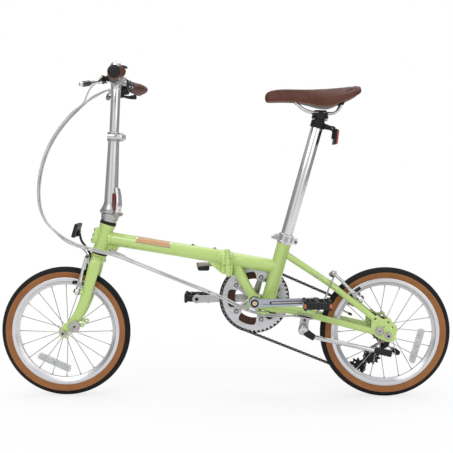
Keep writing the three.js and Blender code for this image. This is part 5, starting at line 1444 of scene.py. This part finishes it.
def rear_reflector():
    piece = Piece("rear_reflector_body", "seat", BLACK)
    axis = V((sin(SEAT_LEAN), 0, cos(SEAT_LEAN)))
    profile = [(17.1, -9)]
    for k in range(5):
        h = -9 + 3.6 * k
        profile += [(20.4, h), (21.2, h + 0.7), (21.2, h + 2.6), (20.4, h + 3.3)]
    profile += [(17.1, 9)]
    piece.turned(profile, seat(778), 56, True, axis)
    turn = Matrix.Rotation(0.1, 4, "Y")
    piece.block((284, 0, 773), (20, 13, 15), 0.28, 2.6)
    piece.block((298, 0, 769), (22, 11, 13), 0.25, 3)
    piece.rod((306, -7, 767), (306, 7, 767), 7.4, 7.4, 32, 1)
    piece.block((308.6, 0, 754), (8, 22, 34), 0.1, 2, turn)
    piece.block((312.6, 0, 743.4), (5.4, 70, 44), 0.12, 2)
    piece.of(STEEL).pin(306, 767, -8.6, 8.6, 3)
    piece.rod((302, 0, 743), (306, 0, 743), 3.6, 3.6)
    piece.of(RED).block((317.2, 0, 742.8), (6, 67, 41), 0.12, 2)
    piece.done("rear_reflector", slot="red_lens")


# ---------------------------------------------------------------- drive
def pitch_r(teeth):
    return PITCH / (2 * sin(pi / teeth))


def sprocket_outline(teeth, middle, low=-3.8, high=3.2):
    r = pitch_r(teeth)
    shape = (
        (0, low), (0.14, low * 0.8), (0.36, high * 0.7), (0.46, high), (0.54, high), (0.64, high * 0.7),
        (0.86, low * 0.8),
    )
    points = []
    for i in range(teeth):
        for share, rise in shape:
            a = TURN * (i + share) / teeth
            points.append((middle.x + (r + rise) * cos(a), middle.z + (r + rise) * sin(a)))
    return points


def ring_opening():
    """The inside edge of the chainring: wide windows between the five bolts, narrower at the bolts."""
    points = []
    for i in range(240):
        a = 360 * i / 240
        off = abs((a + 36) % 72 - 36)
        share = min(max((off - 12) / 9, 0), 1)
        r = 54.5 + 23.5 * sqrt(1 - (1 - share) ** 2)
        points.append((CRANK.x + r * cos(radians(a)), CRANK.z + r * sin(radians(a))))
    return points


def chainring():
    piece = Piece("chainring_plate", "crankset", RING_ALLOY)
    holes = [ring_opening()] + [
        arc(3.9, 0, 337, 16, crank_xz(radians(72 * i), BOLT_CIRCLE_R)) for i in range(5)
    ]
    piece.slab(sprocket_outline(48, CRANK), 43, 45, holes=holes, ease=0.25)
    for i in range(5):
        x, z = crank_xz(radians(72 * i), BOLT_CIRCLE_R)
        piece.of(BLACK).turned([(3.9, 43.2), (6.6, 43), (6.6, 42), (3.9, 42)], (x, 0, z), 28, True)
        piece.of(CHROME).turned([
            (1.8, 43.6), (3.9, 43.6), (3.9, 41.4), (2.4, 41.2), (1.8, 42),
        ], (x, 0, z), 28, True)
    piece.done("chainring")


def chain_guard():
    piece = Piece("chain_guard_disc", "crankset", GUARD)
    piece.turned([
        (57, 48.6), (58, 48.4), (100.8, 48.4), (102.2, 48.9), (102.6, 49.8), (102.2, 50.9), (101, 51.3),
        (96, 51.3), (94.6, 50.8), (63, 50.8), (61.8, 51.3), (58, 51.3), (57, 51.1),
    ], CRANK, 120, True)
    for i in range(5):
        x, z = crank_xz(radians(72 * i + 36), 82)
        piece.of(GUARD).turned([(0, 51.8), (5, 51.8), (6, 50.6), (0, 50.6)], (x, 0, z), 24)
    piece.done("chain_guard", slot="guard_plastic")


def crank_xz(angle, along):
    return (CRANK.x + along * cos(angle), CRANK.z + along * sin(angle))


def crank_arm(piece, side, material):
    """One crank in its own axes: X along the arm, the outside of the bicycle at side Y."""
    lean = side * 12 / CRANK_LENGTH
    shear = Matrix(((1, 0, 0, 0), (lean, 1, 0, 0), (0, 0, 1, 0), (0, 0, 0, 1)))
    outline = arc(16.6, 52, 308, 26, (0, 0)) + [(22, -12.6), (45, -11.4), (100, -10.4), (148, -10.6)]
    outline += arc(13.2, -62, 62, 18, (CRANK_LENGTH, 0)) + [(148, 10.6), (100, 10.4), (45, 11.4), (22, 12.6)]
    outer = [(x * 0.995 + 0.6, z * 0.94) for x, z in outline]
    y = y_range(side, 58.5, 67.2)
    piece.of(material).slab(outline, *y, ease=1.6, place=shear)
    groove = pill((46, 0), (136, 0), 4.4)
    piece.slab(outer, *y_range(side, 66.8, 70.4), holes=[groove], ease=1.1, place=shear)
    # The black pill under the groove is painted shade: a dark floor standing in for the groove's depth.
    piece.of(BLACK).slab(pill((46, 0), (136, 0), 4.2), *y_range(side, 66, 67.5), ease=0.1, place=shear)
    piece.of(SATIN).slab(pill((49, 0), (133, 0), 2.3), *y_range(side, 66, 68.8), ease=0.7, place=shear)
    piece.of(material)
    piece.turned(
        [(0, 54.9), (13.6, 54.9), (15, 56), (15, 66), (0, 66)] if side > 0
        else [(0, -54.9), (13.6, -54.9), (15, -56), (15, -66), (0, -66)], sides=44,
    )
    piece.of(BLACK).turned(
        outward(side, [(7.2, 70), (11.6, 70), (11.6, 71.6), (10.6, 72.2), (7.2, 72)]), loop=True,
    )
    piece.of(BRASS).turned(outward(side, [(0, 70.8), (5.6, 71.2), (7.2, 70.6), (7.2, 69), (0, 69)]), sides=32)
    piece.pin(0, 0, *y_range(side, 70.9, 71.9), 2.6, 6, 0.1)
    piece.of(STEEL).pin(CRANK_LENGTH, 0, *y_range(side, 80, 172), 4.5, 20)
    piece.hex((CRANK_LENGTH, side * 82.4, 0), (CRANK_LENGTH, side * 85.6, 0), 8)
    piece.of(BLACK).pin(CRANK_LENGTH, 0, *y_range(side, 69.7, 71.2), 5.6, 28, 0.3)
    piece.of(material).turned(
        outward(side, [(0, 74), (12, 74), (13, 75), (13, 81.8), (12, 82.8), (0, 82.8)]),
        (CRANK_LENGTH, 0, 0),
    )


def cranks():
    for side, angle, material, name, node in (
        (-1, CRANK_ANGLE, CRANK_ALLOY, "crank_left_arm", "crank_left"),
        (1, CRANK_ANGLE + pi, SATIN, "crank_right_arm", "crank_right"),
    ):
        place = Matrix.Translation(CRANK) @ Matrix.Rotation(-angle, 4, "Y")
        piece = Piece(name, "crankset", material, place=place)
        crank_arm(piece, side, material)
        if side > 0:
            piece.of(STEEL).pin(0, 0, -54.6, 60, 8.2, 28)
            for i in range(5):
                a = radians(72 * i) - angle
                direction = V((cos(a), 0, sin(a)))
                tip = direction * BOLT_CIRCLE_R
                piece.of(SATIN).tube([
                    direction * 6 + V((0, 60, 0)), direction * 38 + V((0, 57.4, 0)), tip + V((0, 54.8, 0)),
                ], lambda t: (3.2, 11.5 - 4.4 * t), 18, 22)
                piece.pin(tip.x, tip.z, 51.7, 57.6, 7.6, 28, 1)
                piece.of(STEEL).pin(tip.x, tip.z, 42.5, 58.4, 3.6, 20)
        piece.done(node)


def bottom_bracket():
    piece = Piece("bottom_bracket_cups", "rear_frame", DARK_STEEL)
    for side in SIDES:
        y = side * 34.6
        piece.of(DARK_STEEL).turned([
            (9, y), (15.8, y), (16.4, y + side), (15.4, y + side * 2.6), (9, y + side * 2.6),
        ], CRANK, loop=True)
        for k in range(8):
            a = TURN * k / 8
            at = CRANK + V((13.6 * cos(a), 0, 13.6 * sin(a)))
            piece.of(STEEL).pin(at.x, at.z, *sorted((y + side * 2, y + side * 3.4)), 1.5, 10, 0.2)
    piece.done("bottom_bracket", slot="drive_steel")


def pedal(side):
    word = SIDES[side]
    x, z = crank_xz(CRANK_ANGLE + (0 if side < 0 else pi), CRANK_LENGTH)
    axle = V((x, 0, z))
    piece = Piece(f"pedal_{word}_cage", f"{word}_pedal", BLACK, place=Matrix.Translation(axle))
    middle, length = side * 130, 92
    for way in (-1, 1):
        piece.of(BLACK).block((way * 34, middle, 0), (7.4, length, 20), 0, 2)
        for k in range(11):
            y = middle - 40 + 8 * k
            for up in (-1, 1):
                piece.block((way * 33.4, y, up * 10.6), (7.8, 4.4, 5), 0, 1)
        piece.block((0, middle + way * 42, 0), (70, 8, 19), 0, 2.4)
        for up in (-1, 1):
            piece.block((way * 19, middle + side * 3, up * 9.6), (3.4, 76, 3.4), 0, 0.9)
            piece.block((0, middle + way * 20, up * 9.6), (60, 3.4, 3.4), 0, 0.9)
        piece.of(AMBER).block((way * 37, middle, 0), (3, 62, 11), 0, 0.9)
        piece.block((way * 34.4, middle + side * 44.8, 0), (6, 5.4, 12), 0, 1)
    barrel = [(5, -46), (10.6, -46), (11.4, -44), (11, -10), (10, 10), (10.8, 40), (10.4, 45.6), (5, 45.8)]
    piece.of(BLACK).turned([(r, middle + side * h) for r, h in barrel], sides=36, loop=True)
    cap = [(0, 44), (9, 44), (8.4, 46.2), (0, 46.6)]
    piece.turned([(r, middle + side * h) for r, h in cap], sides=32)
    piece.done(f"pedal_{word}", slot="black_plastic", origin=axle)


def belt(wheels):
    """The chain's line round the wheels (x, z, pitch radius, way round)."""
    touches = []
    for i, (ax, az, ar, aw) in enumerate(wheels):
        bx, bz, br, bw = wheels[(i + 1) % len(wheels)]
        heading = atan2(bz - az, bx - ax)
        distance = hypot(bx - ax, bz - az)
        touches.append(heading - pi / 2 - asin((br * bw - ar * aw) / distance))
    points = []
    for i, (x, z, r, way) in enumerate(wheels):
        start = touches[i - 1]
        swept = touches[i] - start
        while swept * way < 0:
            swept += way * TURN
        while swept * way > TURN:
            swept -= way * TURN
        count = max(4, ceil(abs(swept) / radians(3)))
        for k in range(count + 1):
            a = start + swept * k / count
            points.append(V((x + r * way * cos(a), CHAIN_Y, z + r * way * sin(a))))
    return points


def chain():
    line = belt([
        (JOCKEY_UPPER.x, JOCKEY_UPPER.z, pitch_r(11), -1), (REAR_AXLE.x, REAR_AXLE.z, pitch_r(15), 1),
        (CRANK.x, CRANK.z, pitch_r(48), 1), (JOCKEY_LOWER.x, JOCKEY_LOWER.z, pitch_r(11), 1),
    ])
    line.append(line[0])
    count = 2 * round(run_length(line) / PITCH / 2)
    pins = walk(line, count, count)
    piece = Piece("chain_links", "rear_frame", CHAIN_STEEL)
    for i in range(count):
        a, b = pins[i], pins[(i + 1) % count]
        near, far = (2.5, 3.4) if i % 2 else (1.5, 2.4)
        r = 4.1 if i % 2 else 4.3
        angle = atan2(b.z - a.z, b.x - a.x)
        span = (b - a).length
        waist = [(span * 0.5, -r * 0.72), (span * 0.5, r * 0.72)]
        shape = arc(r, 90, 270, 9) + waist[:1] + arc(r, -90, 90, 9, (span, 0)) + waist[1:]
        turned = [
            (a.x + x * cos(angle) - z * sin(angle), a.z + x * sin(angle) + z * cos(angle)) for x, z in shape
        ]
        for y0, y1 in ((-far, -near), (near, far)):
            piece.of(CHAIN_STEEL).skin([[(x, CHAIN_Y + y, z) for x, z in turned] for y in (y0, y1)])
        piece.of(STEEL).pin(a.x, a.z, CHAIN_Y - 3.9, CHAIN_Y + 3.9, 1.7, 10, 0.3)
        piece.of(CHAIN_STEEL).pin(a.x, a.z, CHAIN_Y - 1.45, CHAIN_Y + 1.45, 3.7, 12, 0.2)
    piece.done("chain", slot="drive_steel")


def gears():
    piece = Piece("cassette_cogs", "freewheel_cogs", DARK_STEEL)
    for i, teeth in enumerate((17, 16, 15, 14, 13)):
        y = CHAIN_Y + (i - 2) * 4.8
        piece.of(DARK_STEEL).slab(
            sprocket_outline(teeth, REAR_AXLE, -3.6, 2.8), y - 0.95, y + 0.95,
            [arc(16, 0, 350, 30, (REAR_AXLE.x, REAR_AXLE.z))], 0.25,
        )
    piece.of(STEEL).turned([
        (9.4, 31), (17, 31), (17.2, 32), (17.2, 54), (15.8, 55.6), (14.6, 55.6), (14, 54.6), (9.4, 54.6),
    ], REAR_AXLE, 48, True)
    piece.done("cassette", slot="drive_steel", origin=REAR_AXLE)


def jockey_wheels():
    for word, at in (("upper", JOCKEY_UPPER), ("lower", JOCKEY_LOWER)):
        piece = Piece(f"jockey_{word}_pulley", f"{word}_jockey", BLACK)
        holes = [
            arc(2.6, 0, 337, 14, (at.x + 12.4 * cos(a), at.z + 12.4 * sin(a)))
            for a in (TURN * k / 6 for k in range(6))
        ]
        holes.append(arc(5.2, 0, 348, 24, (at.x, at.z)))
        piece.slab(sprocket_outline(11, at, -3.4, 2.9), 43, 45, holes, 0.25)
        piece.of(STEEL).ring(at + V((0, 42.2, 0)), at + V((0, 45.8, 0)), 5.6, 3.8, 28)
        piece.done(f"jockey_wheel_{word}", slot="black_plastic", origin=at)


def derailleur():
    piece = Piece("rear_derailleur_body", "rear_frame", BLACK)
    up, low = JOCKEY_UPPER, JOCKEY_LOWER
    lean = atan2(low.z - up.z, low.x - up.x)
    turn = Matrix.Rotation(-lean, 4, "Y")
    span = (low - up).length
    place = Matrix.Translation((up.x, 0, up.z)) @ turn
    window = pill((17, 0), (span - 16, 0), 3.4)
    outline = arc(12, 60, 300, 20, (0, 0)) + [(18, -7), (span - 16, -6.4)]
    outline += arc(10, -110, 110, 18, (span, 0)) + [(span - 16, 6.4), (18, 7)]
    for y0, y1 in ((50, 52.4), (35.6, 38)):
        piece.of(SATIN if y0 > 40 else BLACK).slab(outline, y0, y1, [window], 0.5, place)
    for at in (up, low):
        piece.of(STEEL).pin(at.x, at.z, 36, 51, 3.4, 20)
        piece.turned([(0, 52.2), (5.4, 52.2), (5.4, 53.2), (4.4, 54), (0, 54)], at, 28)
    piece.of(BLACK).rod((444, 62, 112), (431, 51, 108), 8.6, 9, 32, 1.4)
    for y in (-4.4, 4.4):
        piece.tube([
            (474, 79 + y, 136), (462, 73 + y, 126), (446, 64 + y, 114),
        ], lambda t: (2, 7.4 - 1.4 * t), 16, 20)
    piece.block((468, 79, 140), (32, 14, 20), 0.45, 4)
    piece.block((452, 67, 118), (24, 14, 13), 0.6, 3)
    piece.rod((463, 70.4, 151), (463, 82, 151), 9, 8.4, 36, 1.6)
    piece.of(STEEL).rod((463, 81.6, 151), (463, 84, 151), 5.6, 5, 28, 0.8)
    piece.of(SATIN).tube([(474, 86, 140), (462, 80.4, 129), (452, 75, 120)], lambda t: (0.9, 5.4 - t), 14, 18)
    piece.of(STEEL).rod((480, 79, 132), (500, 79, 116.5), 3.2, 3.2)
    for t in (0.2, 0.34, 0.48):
        a, b = V((484, 79, 129)), V((515, 79, 106))
        piece.of(BLACK).rod(a.lerp(b, t), a.lerp(b, t + 0.1), 5, 5, 20)
    piece.of(BLACK).rod((497, 79, 119), (513, 79, 107.5), 8, 7.4, 28, 1.6)
    piece.of(SATIN).rod((512, 79, 108), (515, 79, 106), 4, 3.6, 24)
    piece.of(STEEL).rod((484, 80, 146), (489, 80, 144), 2)
    piece.rod((482, 80, 150), (487, 80, 148), 2)
    piece.done("rear_derailleur")


# ---------------------------------------------------------------- cables
def cable_run(name, paths, bodies, start, end, nodes, thin=(), ferrules=()):
    """Housings side by side. With two bodies, the run rides on neither body and stays where it is made; start
    and end are not used.
    """
    piece = Piece(name, None if len(bodies) == 2 else bodies[0], JACKET)
    for path in paths:
        piece.of(JACKET).tube(path, 2.5, max(12, int(run_length(path) / 6)), 14, 0.3, (0.3, 1, 0.2))
    for path in thin:
        piece.of(STEEL).tube(path, 0.8, sides=8, ends=0.2, side=(0.3, 1, 0.2))
    for a, b in ferrules:
        piece.of(STEEL).rod(a, b, 3.3, 3.3, 20)
    made = piece.done(slot="cable_jacket", sharp=60)
    if len(bodies) == 2:
        V(start) * MM
        V(end) * MM
        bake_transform(made)
    if nodes:
        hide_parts(*nodes)
    return made


def cables():
    left = [
        (-337, -122, 889.5), (-350, -113, 886), (-364, -101, 878), (-376, -76, 868), (-387, -52, 855),
        (-398, -34, 838),
    ]
    right = [
        (-337, 122, 889.5), (-350, 113, 886), (-364, 101, 878), (-376, 72, 867), (-388, 22, 852),
        (-402, -14, 833),
    ]
    gear = [(-334, 106, 889), (-345, 98, 886), (-360, 66, 877), (-382, 14, 858), (-399, -22, 836)]
    starts = [left, right, gear]
    lanes = [(-0.5, -3.6, 0.4), (2.4, 2.6, -2.2), (-2.6, 1.4, 2.4)]
    spine = [
        (-425, -33, 812), (-452, -34, 783), (-478, -35, 748), (-500, -36, 708), (-517, -37, 660),
        (-526, -37, 612), (-527, -38, 572), (-522, -39, 538), (-510, -40, 508), (-494, -41, 488),
    ]
    paths_a, paths_b = [], []
    for begin, lane in zip(starts, lanes):
        whole = smooth_path([V(p) for p in begin] + [V(p) + V(lane) for p in spine], 121)
        cut = next(i for i, p in enumerate(whole) if p.z < 700 and i > 20)
        paths_a.append(whole[: cut + 1 : 2] + [whole[cut]] if cut % 2 else whole[: cut + 1 : 2])
        paths_b.append(([whole[cut]] if cut % 2 else []) + whole[cut + (cut % 2) :: 2])
    cable_run(
        "cables_from_bars", paths_a, ("handlebars", "handlepost"), (-395, -22, 846), (-500, -36, 706),
        ["handlebar_cables"],
    )
    cable_run("cables_front_loop", paths_b, ("handlepost", "steerer"), (-505, -36, 694), (-527, -37, 590), [])
    ends = [path[-1] for path in paths_b]
    down = [
        (-456, -46, 456), (-418, -55, 438), (-384, -54, 428), (-350, -48, 419), (-303, -40, 406),
        (-212, -36, 370), (-113, -34, 330), (-40, -33, 301),
    ]
    inner = V((1.2, 0.6, 2.8))
    paths_c, paths_d, front_run = [], [], None
    for i, (end, shift) in enumerate(zip(ends, (V((0, 0, 0)), inner, -inner))):
        if i == 0:
            front_run = [end, V((-472, -41.4, 468)), V((-448, -41, 452.6)), V((-425.6, -41, 441.6))]
            continue
        whole = [end] + [V(p) + shift for p in down]
        fine = smooth_path(whole, 101)
        cut = next(k for k, p in enumerate(fine) if p.x > -384)
        paths_c.append(fine[: cut + 1])
        paths_d.append(fine[cut:])
    cable_run(
        "cables_past_head", paths_c, ("steerer", "front_frame"), (-485, -44, 478), (-400, -56, 428),
        ["frame_cables"],
    )
    cable_run(
        "front_brake_cable", [front_run], ("steerer", "front_brake_left"), (-474, -41, 470),
        (-428, -41, 443), ["fork_brake_cable"], ferrules=[(front_run[-1] + V((-7, 0, 3)), front_run[-1])],
    )
    cable_run("cables_under_frame", paths_d, ("front_frame",), None, None, [])
    ends = [path[-1] for path in paths_d]
    rear = [
        (-5, -33, 286), (30, -33, 268), (60, -32, 254), (84, -30, 245), (108, -29, 241), (140, -29.6, 238),
    ]
    cross = []
    for end, shift in zip(ends, (inner, -inner)):
        cross.append([end] + [V(p) + shift * (0.6 if p[0] > 60 else 1) for p in rear[:4]])
    cable_run("cables_at_hinge", cross, ("front_frame", "rear_frame"), (-36, -33, 300), (50, -33, 258), [])
    shift_end = [cross[0][-1], (108, -28, 242), (150, -30, 238), (210, -36, 234), (250, -45, 228)]
    gear_end = [cross[1][-1], (110, -27, 236), (150, -22, 232), (200, -18, 234), (240, 22, 238)]
    guide = [
        (236, -40, 233), (256, -39, 240), (276, -36, 268), (290, -33, 300), (302, -31, 330),
        (311, -30, 350),
    ]
    along = [(240, 22, 238), (270, 44, 226), (330, 60, 206), (400, 74, 186), (450, 82, 150), (478, 84, 118),
             (500, 82, 104), (514, 79, 105)]
    cable_run(
        "cables_rear", [shift_end, gear_end], ("rear_frame",), None, None, ["rear_cables"], thin=[along],
    )
    noodle = Piece("rear_brake_noodle", "rear_frame", STEEL)
    noodle.tube(guide, 2.5, 40, ends=0.4)
    noodle.done(slot="drive_steel")


def brace():
    start, end = V((-324, -24, 420)), V((66, -31, 251))

    def at(x):
        return start.lerp(end, (x - start.x) / (end.x - start.x))

    piece = Piece("brace_wire", None, STEEL)
    piece.tube([at(-320), at(-200), at(-80), at(0), at(62)], 1.6, 60, 12, 0.3)
    piece.of(SATIN).rod(at(-323), at(-285), 4.2, 3.4, 24)
    piece.rod(at(-326), at(-318), 5.6, 5.6, 24, 1.4)
    piece.rod(at(52), at(66), 3.6, 4.4, 24)
    made = piece.done(slot="drive_steel")
    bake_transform(made)
    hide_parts("brace_wire_front")


# ---------------------------------------------------------------- studio
def floor_white():
    """Pale under the bicycle, turning into the white of the background further out."""
    made = Shader("floor_white", (0.9, 0.9, 0.9), 0.9)
    reach = made.node("VectorMath", operation="LENGTH", i0=made.place).outputs["Value"]
    seen = made.node("LightPath").outputs["Is Camera Ray"]
    share = made.math("MULTIPLY", made.ease(reach, 0.3, 1.2, 0.72, 1), seen)
    glow = made.node("Emission").outputs[0]
    mix = made.node("MixShader", i0=share, i1=made.main.outputs[0], i2=glow)
    made.tree.links.new(mix.outputs[0], made.tree.nodes["Material Output"].inputs["Surface"])
    return made.material


def surround(tree):
    """White where the camera sees it. The metal is lit brightly from above in front, dimly at the sides."""
    made = Nodes(tree)
    x, y, z = made.node("SeparateXYZ", i0=made.node("TexCoord").outputs["Generated"]).outputs
    front = made.ease(y, -0.9, -0.35, 0.85, 0.26)
    above = made.ease(z, 0.2, 0.9, 0.08, 0.55)
    seam = made.ease(made.math("ABSOLUTE", x), 0.02, 0.16, 0.45, 1)
    total = made.math("ADD", made.math("MULTIPLY", front, seam), above)
    seen = made.node("LightPath").outputs["Is Camera Ray"]
    mix = made.node("Mix", Factor=seen, A=total, B=1)
    background = tree.nodes["Background"]
    tree.links.new(mix.outputs["Result"], background.inputs["Strength"])
    background.inputs["Color"].default_value = (1, 1, 1, 1)


def look(holder, place, target):
    holder.location = place
    holder.rotation_euler = (V(target) - V(place)).to_track_quat("-Z", "Y").to_euler()


def area(name, place, target, size, power):
    light = bpy.data.lights.new(name, "AREA")
    light.shape = "RECTANGLE"
    light.size, light.size_y = size
    light.energy = power
    holder = hold(name, light)
    look(holder, place, target)


def studio():
    world = bpy.data.worlds.new("studio_world")
    bpy.context.scene.world = world
    world.use_nodes = True
    surround(world.node_tree)
    floor_mesh = bpy.data.meshes.new("floor")
    sides, radius = 96, 4
    ring = [(radius * cos(TURN * i / sides), radius * sin(TURN * i / sides), 0) for i in range(sides)]
    floor_mesh.from_pydata(ring, [], [list(range(sides))])
    floor = hold("floor", floor_mesh)
    floor.location.z = -0.0002
    floor_mesh.materials.append(floor_white())

    area("key_light", (-1.6, -2.8, 3.4), (0, 0, 0.4), (2.6, 2.2), 40)
    area("fill_light", (2.6, -2.6, 1.8), (0, 0, 0.5), (2.2, 2.2), 13)
    area("top_light", (0, 0.6, 3.6), (0, 0, 0.4), (3.2, 2.4), 36)
    area("back_light", (0.8, 3.0, 2.2), (0, 0, 0.5), (2.6, 1.8), 14)


def camera():
    lens_data = bpy.data.cameras.new("camera")
    lens_data.lens = 77.3
    lens_data.sensor_width = 36
    lens_data.clip_end = 100
    holder = hold("camera", lens_data)
    look(holder, (0.0586, -2.7826, 0.6431), (0.0043, 0, 0.4879))
    bpy.context.scene.camera = holder


BOTH_SIDES = (grip, perch, brake_lever, pedal)
ONCE = (
    wheels, fork, axles, front_lamp_bracket, brakes, handlepost_foot, handlepost_tube, handlepost_latch,
    height_clamp, handlepost_stem, handlebar, shifter, thumb_lever, bell, bell_striker, front_frame,
    hinge_pin, frame_latch, headset, rear_frame, kickstand, seat_clamp, seat_clamp_lever, saddle,
    saddle_rails, seat_post, rear_reflector, chainring, chain_guard, cranks, bottom_bracket, chain, gears,
    jockey_wheels, derailleur, cables, brace, studio, camera,
)
for build in ONCE:
    build()
for build in BOTH_SIDES:
    for side in SIDES:
        build(side)
bpy.context.scene.view_settings.view_transform = "Standard"
